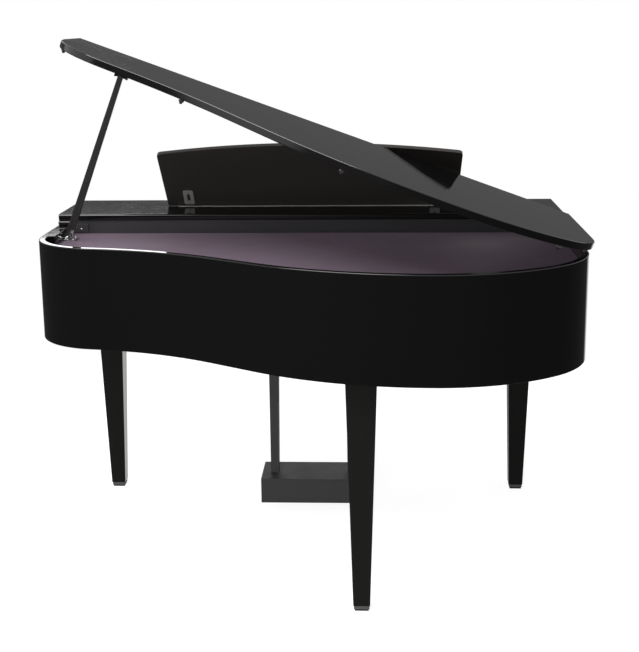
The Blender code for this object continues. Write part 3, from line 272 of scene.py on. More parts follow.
# %% Sound panel film
PANEL_FILM = new_finish("grey_panel", (0.108, 0.079, 0.105), 0.60)
vary_colour(PANEL_FILM, 620.0, (0.086, 0.060, 0.083), (0.130, 0.098, 0.127), detail=2.0)
vary_roughness(PANEL_FILM, 5.0, 0.54, 0.66)
lift_by_noise(PANEL_FILM, 1300.0, 0.00005)
surface(PANEL_FILM, Specular_IOR_Level=0.25, Sheen_Weight=0.16, Sheen_Tint=(1.0, 0.77, 0.97, 1))

# %% [markdown]
# ## Keys
#
# White keys are cast in a hard resin that imitates ivory: warm white, with a faint grain running along the key that
# takes up sweat. Black keys imitate ebony, a satin black with short pores along the key. Stretching the noise along
# y draws both grains without any painted lines.

# %% Key finishes
KEY_WHITE = new_finish("key_white", (0.80, 0.77, 0.69), 0.30)
vary_colour(KEY_WHITE, 160.0, (0.78, 0.745, 0.665), (0.82, 0.795, 0.72), stretch=(1, 0.06, 1))
vary_roughness(KEY_WHITE, 220.0, 0.24, 0.38, stretch=(1, 0.08, 1))
lift_by_noise(KEY_WHITE, 500.0, 0.00002, stretch=(1, 0.08, 1))
KEY_BLACK = new_finish("key_black", (0.013, 0.012, 0.011), 0.42)
vary_colour(KEY_BLACK, 300.0, (0.009, 0.008, 0.008), (0.019, 0.017, 0.016), stretch=(1, 0.05, 1))
vary_roughness(KEY_BLACK, 260.0, 0.34, 0.52, stretch=(1, 0.06, 1))
lift_by_noise(KEY_BLACK, 620.0, 0.00004, stretch=(1, 0.05, 1))

# %% [markdown]
# ## Metals
#
# Hinges, plates and screws are nickelled steel, the pedals lacquered brass. Polished metal shows the direction of
# the last buffing: long hair lines along the pedal, none to speak of on a pressed hinge leaf. A stretched noise in
# the roughness gives them; as relief they are a micrometre, so that the reflection only smears a little.

# %% Steel and brass
STEEL = new_finish("steel", (0.56, 0.56, 0.57), 0.24, metallic=1.0)
vary_roughness(STEEL, 420.0, 0.17, 0.36, stretch=(1, 0.15, 1))
lift_by_noise(STEEL, 700.0, 0.00001, stretch=(1, 0.2, 1))
BRASS = new_finish("pedal_brass", (0.66, 0.47, 0.21), 0.18, metallic=1.0)
vary_colour(BRASS, 40.0, (0.60, 0.42, 0.18), (0.70, 0.50, 0.23))
vary_roughness(BRASS, 520.0, 0.12, 0.30, stretch=(1, 0.05, 1))
lift_by_noise(BRASS, 800.0, 0.00001, stretch=(1, 0.05, 1))

# %% [markdown]
# ## Wood and circuit board
#
# These show only from below or in an opened piano. The key frame is bare spruce with rings cut lengthwise, and the
# amplifier has a green solder mask over raised tracks. A wave and a brick pattern come closer to them than noise.

# %% Hidden finishes
BARE_WOOD = new_finish("bare_wood", (0.52, 0.36, 0.20), 0.62)
rings = add_node(BARE_WOOD, "ShaderNodeTexWave", {"bands_direction": "Y"}, Scale=38.0, Distortion=5.0, Detail=3.0,
                 Vector=object_space(BARE_WOOD, (0.12, 1, 1))).outputs["Fac"]
ring_share = span(BARE_WOOD, rings, 0, 1, 0.2, 0.9)
surface(BARE_WOOD, Base_Color=mix_colours(BARE_WOOD, ring_share, (0.56, 0.40, 0.23, 1), (0.42, 0.27, 0.14, 1)))
vary_roughness(BARE_WOOD, 60.0, 0.55, 0.75, stretch=(0.1, 1, 1))
lift(BARE_WOOD, rings, 0.0001)

CIRCUIT = new_finish("circuit_board", (0.012, 0.10, 0.045), 0.35)
tracks = add_node(CIRCUIT, "ShaderNodeTexBrick", Vector=object_space(CIRCUIT), Scale=90.0, Mortar_Size=0.06,
                  Color1=(0.010, 0.085, 0.040, 1), Color2=(0.014, 0.120, 0.055, 1), Mortar=(0.035, 0.200, 0.085, 1))
surface(CIRCUIT, Base_Color=tracks.outputs["Color"])
vary_roughness(CIRCUIT, 80.0, 0.28, 0.45)
lift(CIRCUIT, tracks.outputs["Fac"], 0.00004)
print("materials made:", len(bpy.data.materials))

# %% [markdown]
# ## Tools for shapes
#
# Nearly every piece of a piano is a board cut to an outline, so the main tool lifts a flat outline into a board.
# Lofts or sculpting would work too, but an outline is what the saw follows. A machine-sharp edge looks false, since
# sandpaper breaks every real arris, so a Bevel modifier rounds each piece by its own fraction of a millimetre.

# %% Boards, boxes and turned pieces
MERGE = 0.000001


def hand_over(name, shape):
    mesh = bpy.data.meshes.new(name)
    shape.to_mesh(mesh)
    shape.free()
    return mesh


def close_up(name, shape):
    """Merges double points, faces the sides outwards and makes a smooth-shaded mesh."""
    bmesh.ops.remove_doubles(shape, verts=shape.verts, dist=MERGE)
    bmesh.ops.recalc_face_normals(shape, faces=shape.faces)
    for face in shape.faces:
        face.smooth = True
    return hand_over(name, shape)


def skin(shape, rings, capped=True):
    """Faces between each ring of points and the next and, if capped, over the first and the last ring."""
    if capped:
        shape.faces.new(rings[0])
        shape.faces.new(rings[-1])
    for lower, upper in zip(rings, rings[1:]):
        for index in range(len(lower)):
            on = (index + 1) % len(lower)
            shape.faces.new((lower[index], upper[index], upper[on], lower[on]))


def board(name, outline, low, high, along="Z"):
    """An outline of (x, y), lifted from low to high; along X it holds (y, z)."""
    shape = bmesh.new()
    rings = []
    for height in (low, high):
        spots = [(height, *point) if along == "X" else (*point, height) for point in outline]
        rings.append([shape.verts.new(spot) for spot in spots])
    skin(shape, rings)
    return close_up(name, shape)


def box(name, low, high):
    outline = [(low[0], low[1]), (high[0], low[1]), (high[0], high[1]), (low[0], high[1])]
    return board(name, outline, low[2], high[2])


def ribbon(name, outer, inner, low, high):
    """A wall between two lines with the same number of points."""
    shape = bmesh.new()
    rings = [[shape.verts.new((*point, height))
              for point, height in ((first, low), (first, high), (second, high), (second, low))]
             for first, second in zip(outer, inner)]
    skin(shape, rings)
    return close_up(name, shape)


def turned(name, profile, steps=48):
    """A piece turned about Z from (radius, height) points that run down its outer side."""
    shape = bmesh.new()
    angles = [2 * math.pi * step / steps for step in range(steps)]
    skin(shape, [[shape.verts.new((radius * math.cos(angle), radius * math.sin(angle), height)) for angle in angles]
                 for radius, height in profile], capped=False)
    bmesh.ops.remove_doubles(shape, verts=shape.verts, dist=MERGE)
    flat = [face for face in shape.faces if face.calc_area() < MERGE ** 2]
    bmesh.ops.delete(shape, geom=flat, context="FACES")
    mesh = close_up(name, shape)
    mesh.set_sharp_from_angle(angle=math.radians(40))
    return mesh


def rounded(corners, steps=8):
    """The outline through (x, y, radius) corners, with an arc wherever a radius is given."""
    outline = []
    for index, (x, y, radius) in enumerate(corners):
        corner = Vector((x, y))
        if not radius:
            outline.append((x, y))
            continue
        back = (Vector(corners[index - 1][:2]) - corner).normalized()
        on = (Vector(corners[(index + 1) % len(corners)][:2]) - corner).normalized()
        half = back.angle(on) / 2
        centre = corner + (back + on).normalized() * radius / math.sin(half)
        start = corner + back * radius / math.tan(half) - centre
        sweep = start.angle_signed(corner + on * radius / math.tan(half) - centre)
        for step in range(steps + 1):
            outline.append(tuple(centre + Matrix.Rotation(-sweep * step / steps, 2) @ start))
    return outline


def together(name, meshes):
    """One mesh out of several, such as a row of keys or a set of screws."""
    shape = bmesh.new()
    for mesh in meshes:
        shape.from_mesh(mesh)
        bpy.data.meshes.remove(mesh)
    return hand_over(name, shape)


# %% [markdown]
# ## Putting a piece on the piano
#
# A piece needs five things: its place, its finish, the body it rides on, the material slot it stands for, and the
# solid it replaces, if any. One function sees to them all, so that none is forgotten. The slot follows from the
# finish. Solids whose shape is already right are not replaced: they keep their mesh, and get the same rounding and a
# finish.

# %% Dress a piece
BEND_LIMIT = math.radians(32)  # a flatter fold is part of a curve and stays as it is


def soften(piece, width, segments):
    """Breaks the sharp edges of a piece, as sandpaper does, and keeps its large faces flat to the light."""
    edge = piece.modifiers.new("broken_edges", "BEVEL")
    edge.width = width
    edge.segments = segments
    edge.limit_method = "ANGLE"
    edge.angle_limit = BEND_LIMIT
    edge.harden_normals = True
    flats = piece.modifiers.new("flat_faces", "WEIGHTED_NORMAL")
    flats.keep_sharp = True


def paint(piece, finish, edge, segments):
    piece.data.materials.clear()
    piece.data.materials.append(finish)
    if edge:
        soften(piece, edge, segments)


def dress(mesh, body, finish, replaces=(), place=CASE, edge=0.0, segments=3):
    """Puts a new piece in its place, on its body, in the material slot of its finish."""
    piece = add_object(mesh.name, mesh)
    piece.matrix_world = place
    bpy.context.view_layer.update()
    paint(piece, finish, edge, segments)
    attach(piece, body)
    if replaces:
        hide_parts(*replaces)
    print(piece.name, "rides on", body)
    return piece


def keep_solid(name, finish, edge=0.0, segments=2):
    """Gives a solid of the frame its finish and, where it has sharp edges, a slight rounding."""
    paint(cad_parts[name], finish, edge, segments)
    print(name, "keeps its solid")


# %% [markdown]
# ## The bent rim
#
# The rim is a laminated band bent round the tail: a straight spine, a corner that is tight at first and wider towards
# the tail, a long bulge, a short straight, a hollow and a small treble corner. The solid has a flat every 4.6
# degrees, which a mirror finish would give away at once. Here the same arcs are stepped every degree, with the same
# radii, so they lie on the solid. The edges are rounded by 2.6 mm, which draws the bright line along the top.

# %% Rim
SPINE_END = 0.880
SPINE_CORNER_RADIUS = 0.273
SPINE_CORNER_TURN = 50
TAIL_RADIUS = 0.447
BULGE_RADIUS = 0.760
BULGE_TURN = 35
RIM_STRAIGHT = 0.141
HOLLOW_END = 9
CORNER_RADIUS = 0.194
ARC_STEP = 1.0


def bend(points, heading, turn, radius):
    """Adds an arc of turn degrees (left is positive) and returns the new heading."""
    start = points[-1]
    side = math.copysign(radius, turn)
    centre = start + side * Vector((-math.sin(heading), math.cos(heading)))
    steps = math.ceil(abs(turn) / ARC_STEP)
    for step in range(1, steps + 1):
        angle = heading + math.radians(turn) * step / steps
        points.append(centre - side * Vector((-math.sin(angle), math.cos(angle))))
    return heading + math.radians(turn)


def hollow_radius():
    """Radius of the hollow that makes the bends and the straight as wide as the case."""
    slope, end = math.radians(BULGE_TURN), math.radians(HOLLOW_END)
    turned_in = math.cos(math.radians(SPINE_CORNER_TURN))
    bulge = SPINE_CORNER_RADIUS * (1 - turned_in) + TAIL_RADIUS * turned_in + BULGE_RADIUS * math.sin(slope)
    corner = CORNER_RADIUS * (1 - math.sin(end))
    return (CASE_WIDTH - bulge - RIM_STRAIGHT * math.cos(slope) - corner) / (math.sin(slope) - math.sin(end))


def rim_line(inset, front):
    """Plan points of the rim moved in by inset, from the bass side round the tail to the treble."""
    left = -HALF + inset
    points = [Vector((left, front)), Vector((left, SPINE_END))]
    heading = bend(points, math.radians(90), -SPINE_CORNER_TURN, SPINE_CORNER_RADIUS - inset)
    heading = bend(points, heading, SPINE_CORNER_TURN - 90, TAIL_RADIUS - inset)
    heading = bend(points, heading, -BULGE_TURN, BULGE_RADIUS - inset)
    points.append(points[-1] + RIM_STRAIGHT * Vector((math.cos(heading), math.sin(heading))))
    heading = bend(points, heading, BULGE_TURN - HOLLOW_END, hollow_radius() + inset)
    bend(points, heading, HOLLOW_END - 90, CORNER_RADIUS - inset)
    points.append(Vector((HALF - inset, front)))
    return points


seam = ARM_END + GAP
rim_mesh = ribbon("rim_band", rim_line(0, seam), rim_line(RIM_WALL, seam), CASE_BOTTOM, CASE_TOP)
dress(rim_mesh, "case", LACQUER, ["rim"], edge=0.0026, segments=4)
print("the rim's hollow has a radius of", round(hollow_radius(), 4))

# %% [markdown]
# ## Arms and the boards between them
#
# Two thick arms carry the keyboard. Each is one board seen from the side, with a large round at its top front and a
# small one at its foot. The boards inside the case follow the rim's inner line. The sound panel is remade with the
# fine bends, because its edge is seen against the rim; the bottom board's edge is hidden, so the solid stays.

# %% Arms, sound panel, bottom board
arm_outline = rounded(
    [(0, CASE_BOTTOM, 0.020), (ARM_END, CASE_BOTTOM, 0), (ARM_END, CASE_TOP, 0), (0, CASE_TOP, 0.085)], steps=28
)
for name, low, high in (("treble", WAIST, HALF), ("bass", -HALF, -WAIST)):
    arm = board(f"arm_{name}_board", arm_outline, low, high, "X")
    dress(arm, "case", LACQUER, [f"arm_{name}"], edge=0.0020)

side = WAIST - GAP
front = RAIL_BACK + GAP
panel_line = [(-side, front), (-side, seam), *rim_line(RIM_WALL + GAP, seam), (side, seam), (side, front)]
panel_low, panel_high = case_box("sound_panel")
dress(board("sound_panel_film", panel_line, panel_low.z, panel_high.z), "case", PANEL_FILM, ["sound_panel"],
      edge=0.0006)
keep_solid("bottom_board", BLACK_SATIN)

# %% [markdown]
# ## Front top board
#
# The board over the keys lies on two strips. Its long edges are fully eased and the strips end in a bull nose,
# which the photograph shows at the treble end. A profile swept along a path would do the same, but both are simple
# boards, so each gets its outline from the side, with the roundings drawn in.

# %% Top board and its strips
BOARD_FRONT, BOARD_BACK = 0.1575, 0.4505
EASE = 0.006
top_section = rounded(
    [(BOARD_FRONT, BOARD_UNDER, 0.004), (BOARD_BACK, BOARD_UNDER, 0.003),
     (BOARD_BACK, BOARD_OVER, EASE), (BOARD_FRONT, BOARD_OVER, EASE)], steps=6
)
dress(board("top_board_slab", top_section, -HALF, HALF, "X"), "case", LACQUER, ["top_board"], edge=0.0012)
strip_low, strip_front, strip_back = CASE_TOP + GAP, BOARD_FRONT + 0.004, BOARD_BACK + 0.010
nose = (BOARD_UNDER - strip_low) * 0.48
strip_section = rounded([(strip_front, strip_low, 0), (strip_back, strip_low, nose),
                         (strip_back, BOARD_UNDER, nose), (strip_front, BOARD_UNDER, 0)])
for name, low, high in (("treble", WAIST, HALF - 0.001), ("bass", -HALF + 0.001, -WAIST)):
    dress(board(f"top_strip_{name}", strip_section, low, high, "X"), "case", LACQUER, edge=0.0008)

# %% [markdown]
# ## Rear rail
#
# Behind the top board stands a satin grey rail with a block at each end, held by a bright screw. The rail is a
# plain board in the solid and stays. Screws are made once as a turned head with a cross cut into it, and each group
# of them becomes a single piece on the body it holds.

# %% Screws
def rotation(degrees, axis):
    return Matrix.Rotation(math.radians(degrees), 4, axis)


def facing(direction):
    """Turns Z to a direction."""
    return Vector(direction).to_track_quat("Z", "Y").to_matrix().to_4x4()


def screw_head(radius):
    """A pan head about Z with its underside at 0 and a cross recess."""
    height = radius * 0.55
    profile = [
        (0, height), (radius * 0.45, height * 0.97), (radius * 0.8, height * 0.72), (radius, height * 0.25),
        (radius, 0), (0, 0),
    ]
    head = add_object("screw_blank", turned("screw_blank", profile, 28))
    cutters = []
    for turn_by in (0, 90):
        slot = box("screw_slot", (-radius * 0.55, -radius * 0.09, height * 0.35), (radius * 0.55, radius * 0.09, 1))
        slot.transform(rotation(turn_by, "Z"))
        cutters.append(add_object("screw_slot", slot))
        cross = head.modifiers.new("cross", "BOOLEAN")
        cross.operation = "DIFFERENCE"
        cross.object = cutters[-1]
    bpy.context.view_layer.update()
    made = bpy.data.meshes.new_from_object(head.evaluated_get(bpy.context.evaluated_depsgraph_get()))
    for unused in (head, *cutters):
        bpy.data.objects.remove(unused)
    return made


def screws(name, spots, outward, radius, body, place=CASE):
    """Screw heads at spots in one piece; each cross stands at an angle of its own, as a driver leaves it."""
    blank = screw_head(radius)
    heads = []
    for number, spot in enumerate(spots):
        heads.append(blank.copy())
        heads[-1].transform(Matrix.Translation(spot) @ facing(outward) @ rotation(17 + 40 * number, "Z"))
    bpy.data.meshes.remove(blank)
    dress(together(name, heads), body, STEEL, place=place)


keep_solid("rear_rail", GREY_RAIL, 0.0010)
screws("rail_screws", [(x, RAIL_BACK + 0.004, 0.852) for x in (-0.650, 0.650)], BACK, 0.0032, "case")

# %% [markdown]
# ## The lid
#
# The lid is a board like the one over the keys, level with it when shut, and follows the case's plan with a small
# overhang. It stands open by 20 degrees. Here it is drawn closed and flat, then turned by its own placing matrix, so
# that every piece on it can be given in flat coordinates too. The 2 mm round on its edge catches a thin line of
# light in the photograph.

# %% Lid
LID_OPEN = math.radians(20)
LID_OVERHANG = 0.004
LID_FRONT = 0.464
LID_AXIS = Vector((-HALF - 0.0035, 0, (CASE_TOP + BOARD_UNDER) / 2))
LID = CASE @ Matrix.Translation(LID_AXIS) @ Matrix.Rotation(-LID_OPEN, 4, "Y") @ Matrix.Translation(-LID_AXIS)

lid_line = rim_line(-LID_OVERHANG, LID_FRONT)
dress(board("lid_board", lid_line, BOARD_UNDER, BOARD_OVER), "lid", LACQUER, ["lid"], place=LID, edge=0.0020)
print("the lid's outline has", len(lid_line), "points")

# %% [markdown]
# ## Bumpers, hinges and their screws
#
# Small buttons under the lid keep it off the rim: a bright cup with a rubber face. The two spine hinges are pressed
# steel. Their leaves are right as solids, so they only get slightly broken edges and screws.

# %% Bumpers
BUMPER_ROOM = 0.0006
BUMPERS_NEAR = ((-0.066, 1.15), (-0.58, 1.05), (0.35, 0.90), (0.69, 0.70))


def bumper(number, x, y):
    """A cup and a face that ends just above the rim when the lid is shut."""
    height = BOARD_UNDER - CASE_TOP - BUMPER_ROOM
    cup = turned(f"lid_bumper_{number}", [
        (0, 0), (0.0066, 0), (0.0066, -height * 0.45), (0.0058, -height * 0.6), (0.0040, -height * 0.6),
        (0, -height * 0.6),
    ])
    face = turned(f"lid_bumper_face_{number}", [
        (0, -height * 0.55), (0.0038, -height * 0.55), (0.0038, -height * 0.9), (0.0030, -height), (0, -height),
    ])
    for mesh, finish in ((cup, STEEL), (face, RUBBER)):
        mesh.transform(Matrix.Translation((x, y, BOARD_UNDER)))
        dress(mesh, "lid", finish, place=LID)


wall_middle = rim_line(RIM_WALL / 2, seam)
for number, near in enumerate(BUMPERS_NEAR):
    spot = min(wall_middle, key=lambda point: (point - Vector(near)).length)
    bumper(number, spot.x, spot.y)

# %% Hinges
HINGE_CENTRES = {"front": 0.510, "rear": 0.840}
HINGE_LEAF = 0.002
SCREW_PITCH = 0.021

leaf_x = LID_AXIS.x + 0.018
for name, middle in HINGE_CENTRES.items():
    keep_solid(f"case_leaf_{name}", STEEL, 0.0003)
    keep_solid(f"lid_leaf_{name}", STEEL, 0.0003)
    rows = (middle - SCREW_PITCH, middle, middle + SCREW_PITCH)
    on_case = [(leaf_x, y, CASE_TOP + GAP + HINGE_LEAF) for y in rows]
    on_lid = [(leaf_x + 0.006, y + 0.0095, BOARD_UNDER - GAP - HINGE_LEAF) for y in rows[:2]]
    screws(f"case_leaf_screws_{name}", on_case, UP, 0.0030, "case")
    screws(f"lid_leaf_screws_{name}", on_lid, DOWN, 0.0022, "lid", LID)

# %% [markdown]
# ## Prop stick
#
# The prop is a flat bar, wide at its swivel and slim at its tip, with well rounded edges. Its tip stands under the
# lid in a small three-sided stop. The bar's direction follows from the swivel's place on the treble arm and the
# point that it holds, so it is worked out from these two points and not typed.

# %% The prop's line and its swivel
PROP_REST_X = 0.4405
STOWED_HEADING = math.radians(162)
PIN_TILT = math.radians(6)


def lid_lift(x):
    """Height of the open lid's underside over a place across the case."""
    return LID_AXIS.z + (BOARD_UNDER - LID_AXIS.z) / math.cos(LID_OPEN) + (x - LID_AXIS.x) * math.tan(LID_OPEN)


prop_pivot = Vector((WAIST - 0.0192, 0.5564, CASE_TOP - 0.0075))
prop_rest = Vector((PROP_REST_X, 0.835, lid_lift(PROP_REST_X)))
along = (prop_rest - prop_pivot).normalized()
thick = (Vector(BACK) - along * along.y).normalized()
wide = along.cross(thick)
stowed = Vector((math.cos(STOWED_HEADING), math.sin(STOWED_HEADING), 0))
across = along.cross(stowed).normalized()
swivel_pin = (along + stowed).normalized() * math.cos(PIN_TILT) + across * math.sin(PIN_TILT)
lid_normal = Vector((-math.sin(LID_OPEN), 0, math.cos(LID_OPEN)))
print("prop leans along", tuple(round(value, 3) for value in along))

# %% Prop bar
PROP_SECTIONS = (  # share of the length, width, thickness
    (0, 0.0215, 0.0100), (0.04, 0.0212, 0.0100), (0.5, 0.0176, 0.0100), (0.985, 0.0137, 0.0100), (1, 0.0134, 0.0098),
)
PROP_END_GAP = 0.003
SQUARENESS = 0.32  # 1 would give an ellipse, 0 a rectangle


def prop_section(share, width, depth, steps=24):
    """A rounded flat section of the bar; the last one is cut to lie along the lid."""
    points = []
    for step in range(steps):
        c, s = math.cos(2 * math.pi * step / steps), math.sin(2 * math.pi * step / steps)
        corner = prop_pivot + wide * math.copysign(abs(c) ** SQUARENESS, c) * width / 2
        corner += thick * math.copysign(abs(s) ** SQUARENESS, s) * depth / 2
        reach = (prop_rest - prop_pivot).length * share
        if share == 1:
            reach = (prop_rest - lid_normal * PROP_END_GAP - corner).dot(lid_normal) / along.dot(lid_normal)
        points.append(corner + along * reach)
    return points


bar = bmesh.new()
skin(bar, [[bar.verts.new(point) for point in prop_section(*section)] for section in PROP_SECTIONS])
bar_mesh = close_up("prop_bar", bar)
bar_mesh.set_sharp_from_angle(angle=math.radians(50))
# The bar's lighter grey is painted reflection.
dress(bar_mesh, "prop", PROP_PAINTED_REFLECTION, ["prop"])

# %% Swivel, bracket and stop
hub = turned("prop_swivel_hub", [
    (0, 0.0080), (0.0052, 0.0080), (0.0070, 0.0072), (0.0078, 0.0058), (0.0080, 0.0040), (0.0080, -0.0058),
    (0.0074, -0.0065), (0, -0.0065),
])
hub.transform(Matrix.Translation(prop_pivot) @ facing(swivel_pin))
dress(hub, "prop", BLACK_SATIN)
keep_solid("prop_pin", STEEL)
keep_solid("prop_bracket", STEEL, 0.0005)
keep_solid("prop_cup", BLACK_SATIN, 0.0004)
BRACKET_PLATE = 0.0045
BRACKET_HOLES = ((-0.012, 0.0155), (0.010, 0.0165), (-0.012, -0.0155), (0.010, -0.0165))
plate_top = panel_high.z + GAP + BRACKET_PLATE
spots = [(prop_pivot.x + dx, prop_pivot.y + dy, plate_top) for dx, dy in BRACKET_HOLES]
screws("bracket_screws", spots, UP, 0.0028, "case")

# %% [markdown]
# ## Music desk
#
# The desk is an arched board with a ledge for the sheets. Its back, which the photograph shows, carries two slotted
# grey stays. The board's arch is drawn with more points than the solid's and its arrises are rounded, which gives
# the thin light line along the top. The hinge along its foot is a long strip painted light grey as a painted
# highlight.

# %% Desk board and ledge
DESK_Y, DESK_LEAN = 0.289, 40
DESK_FOOT, DESK_TOP, DESK_SIDE, DESK_HEIGHT = 0.425, 0.432, 0.215, 0.249
DESK_THICKNESS = 0.012
DESK_CORNER = 0.012
LEDGE_HALF = 0.390
DESK = CASE @ Matrix.Translation((0, DESK_Y, BOARD_OVER + GAP)) @ rotation(90 - DESK_LEAN, "X")


def desk_outline(steps=48):
    arch = []
    for step in range(1, steps):
        x = DESK_TOP - 2 * DESK_TOP * step / steps
        arch.append((x, DESK_HEIGHT - (DESK_HEIGHT - DESK_SIDE) * (x / DESK_TOP) ** 2, 0))
    return rounded([(-DESK_FOOT, 0, 0), (DESK_FOOT, 0, 0), (DESK_TOP, DESK_SIDE, DESK_CORNER), *arch,
                    (-DESK_TOP, DESK_SIDE, DESK_CORNER)])


dress(board("desk_board", desk_outline(), 0, DESK_THICKNESS), "music_desk", DESK_PAINTED_LIGHT_LACQUER, ["music_desk"], DESK,
      edge=0.0014)
ledge_section = rounded([(0.014, 0.009, 0), (0.022, 0.009, 0), (0.022, 0.036, 0.003), (0.014, 0.036, 0.003)], 5)
dress(board("desk_ledge", ledge_section, -LEDGE_HALF, LEDGE_HALF, "X"), "music_desk", LACQUER, place=DESK,
      edge=0.0010)

# %% Desk stays
STAY_PLATE = 0.0025
for name, x in (("treble", 0.360), ("bass", -0.360)):
    keep_solid(f"desk_stay_{name}", STAY_GREY, 0.0004)
    spots = [(x, height, -GAP - STAY_PLATE) for height in (0.016, 0.061)]
    screws(f"desk_stay_screws_{name}", spots, DOWN, 0.0026, "music_desk", DESK)

# %% Desk hinge strip
STRIP_HALF = 0.395
STRIP_THICKNESS = 0.0012
# Rod and leaf are painted light grey as a painted highlight along the desk's foot.
hinge_rod = turned("desk_hinge_rod", [
    (0, STRIP_HALF), (0.0013, STRIP_HALF), (0.0016, STRIP_HALF - 0.001), (0.0016, 0.001 - STRIP_HALF),
    (0.0013, -STRIP_HALF), (0, -STRIP_HALF),
], 20)
hinge_rod.transform(Matrix.Translation((0, 0.2875, BOARD_OVER + STRIP_THICKNESS)) @ rotation(90, "Y"))
dress(hinge_rod, "case", DESK_HINGE_PAINTED_HIGHLIGHT)
leaf_line = rounded([(-STRIP_HALF, 0.2895, 0), (STRIP_HALF, 0.2895, 0), (STRIP_HALF, 0.3005, 0.002),
                     (-STRIP_HALF, 0.3005, 0.002)], 4)
dress(board("desk_hinge_leaf", leaf_line, BOARD_OVER, BOARD_OVER + STRIP_THICKNESS), "case", DESK_HINGE_PAINTED_HIGHLIGHT,
      edge=0.0003)

# %% [markdown]
# ## Legs, glides and the lyre
#
# The legs are plain tapered posts and stay as solids with a 2 mm round on their arrises. Each stands on a grey
# glide over a rubber pad. The lyre is a grey satin frame: two posts and a box from which the pedals reach forward.

# %% Legs and glides
PAD_HEIGHT = 0.0045
PAD_INSET = Vector((0.002, 0.002, 0))
SCREW_INSET = 0.004
for name in ("treble", "bass", "rear"):
    keep_solid(f"leg_{name}", LEG_LACQUER, 0.0018, 3)
    keep_solid(f"leg_{name}_plate", STEEL, 0.0006)
    low, high = case_box(f"glide_{name}")
    pad = box(f"glide_pad_{name}", low + PAD_INSET, (*(high - PAD_INSET).xy, PAD_HEIGHT))
    dress(pad, "case", RUBBER, edge=0.0008)
    cap = box(f"glide_cap_{name}", (*low.xy, PAD_HEIGHT), high)
    dress(cap, "case", GLIDE_GREY, [f"glide_{name}"], edge=0.0012)
    low, high = case_box(f"leg_{name}_plate")
    spots = [(x, y, low.z) for x in (low.x + SCREW_INSET, high.x - SCREW_INSET)
             for y in (low.y + SCREW_INSET, high.y - SCREW_INSET)]
    screws(f"leg_plate_screws_{name}", spots, DOWN, 0.0034, "case")

# %% Lyre
keep_solid("lyre_post_treble", GREY_METAL, 0.0014, 3)
keep_solid("lyre_post_bass", GREY_METAL, 0.0014, 3)
keep_solid("pedal_box", GREY_METAL, 0.0010)
keep_solid("pedal_cover", GREY_METAL, 0.0008)
keep_solid("pedal_axle", STEEL)

# %% [markdown]
# ## Pedals
#
# A piano pedal is a brass casting: a straight shank that swells into a rounded toe, smooth under the shoe. The
# solid has the right outline with few points. Here the outline is drawn finely and the edges are rounded by more
# than 2 mm, which a bevel does well on so simple a board.

# %% Pedals
PEDAL_PITCH = 0.065
PEDAL_BACK, PEDAL_TIP, PEDAL_SWELL = 0.405, 0.218, 0.245
PEDAL_LOW, PEDAL_HIGH = 0.056, 0.064
AXLE = (0.400, 0.060)


def pedal_outline(x, shank=0.008, toe=0.015):
    """The outline seen from above; shank and toe are half widths."""
    return rounded([
        (x - shank, PEDAL_BACK, 0), (x - shank, PEDAL_SWELL + 0.017, 0.012), (x - toe, PEDAL_SWELL, 0.008),
        (x - toe, PEDAL_TIP, toe * 0.96), (x + toe, PEDAL_TIP, toe * 0.96), (x + toe, PEDAL_SWELL, 0.008),
        (x + shank, PEDAL_SWELL + 0.017, 0.012), (x + shank, PEDAL_BACK, 0),
    ], 14)


for body, x in (("pedal_left", -PEDAL_PITCH), ("pedal_middle", 0), ("pedal_right", PEDAL_PITCH)):
    casting = board(f"{body}_casting", pedal_outline(x), PEDAL_LOW, PEDAL_HIGH)
    dress(casting, body, BRASS, [body], edge=0.0026, segments=5)
    hub = turned(f"{body}_hub", [(0.0043, 0.0077), (0.0094, 0.0077), (0.0100, 0.0070), (0.0100, -0.0070),
                                 (0.0094, -0.0077), (0.0043, -0.0077), (0.0043, 0.0077)], 40)
    hub.transform(Matrix.Translation((x, *AXLE)) @ rotation(90, "Y"))
    dress(hub, body, BRASS)

# %% [markdown]
# ## Keyboard
#
# Each white key has a top plate that stands out a little over its front, with soft edges. The black keys taper
# upwards and slope at the front. The frame carries them as long combs, with five single keys in the middle. The new
# keys are grouped the same way, and every group is one piece that rides on its comb's body.

# %% Where each key is
NATURALS = 52
PITCH_OF_KEYS = 0.0235
KEY_SPACE = 0.001
KEY_LOW, KEY_HIGH = 0.7035, 0.725
KEY_FRONT, KEY_HEAD_END, KEY_BACK = 0.028, 0.078, 0.262
PLATE = 0.0026
SHARP_RISE, SHARP_SLOPE, SHARP_BACK = 0.012, 0.005, 0.249
SHARP_HALF, SHARP_TOP_HALF = 0.0055, 0.00475


def key_left(index):
    return (index - NATURALS / 2) * PITCH_OF_KEYS


def key_group(index):
    """The place of a white key between the groups of two and three black ones, and the group's size."""
    letter = "ABCDEFG"[index % 7]
    group = "CDE" if letter in "CDE" else "FGAB"
    return group.index(letter), len(group)


def has_sharp(index):
    place, size = key_group(index)
    return place < size - 1 and 0 <= index < NATURALS - 1


def sharp_slot(index):
    place, size = key_group(index)
    unit = size * PITCH_OF_KEYS / (2 * size - 1)
    start = key_left(index - place) + (2 * place + 1) * unit
    return start, start + unit


def white_key(index):
    left, right = key_left(index) + KEY_SPACE / 2, key_left(index + 1) - KEY_SPACE / 2
    tail_left = sharp_slot(index - 1)[1] if has_sharp(index - 1) else left
    tail_right = sharp_slot(index)[0] if has_sharp(index) else right

    def outline(front, shrink):
        spots = [(tail_left + shrink, KEY_BACK), (tail_left + shrink, KEY_HEAD_END), (left + shrink, KEY_HEAD_END),
                 (left + shrink, front), (right - shrink, front), (right - shrink, KEY_HEAD_END),
                 (tail_right - shrink, KEY_HEAD_END), (tail_right - shrink, KEY_BACK)]
        return [spot for number, spot in enumerate(spots) if spot != spots[number - 1]]

    return [board("key", outline(KEY_FRONT + 0.001, 0.0003), KEY_LOW, KEY_HIGH - PLATE + 0.0004),
            board("key", outline(KEY_FRONT, 0), KEY_HIGH - PLATE, KEY_HIGH)]


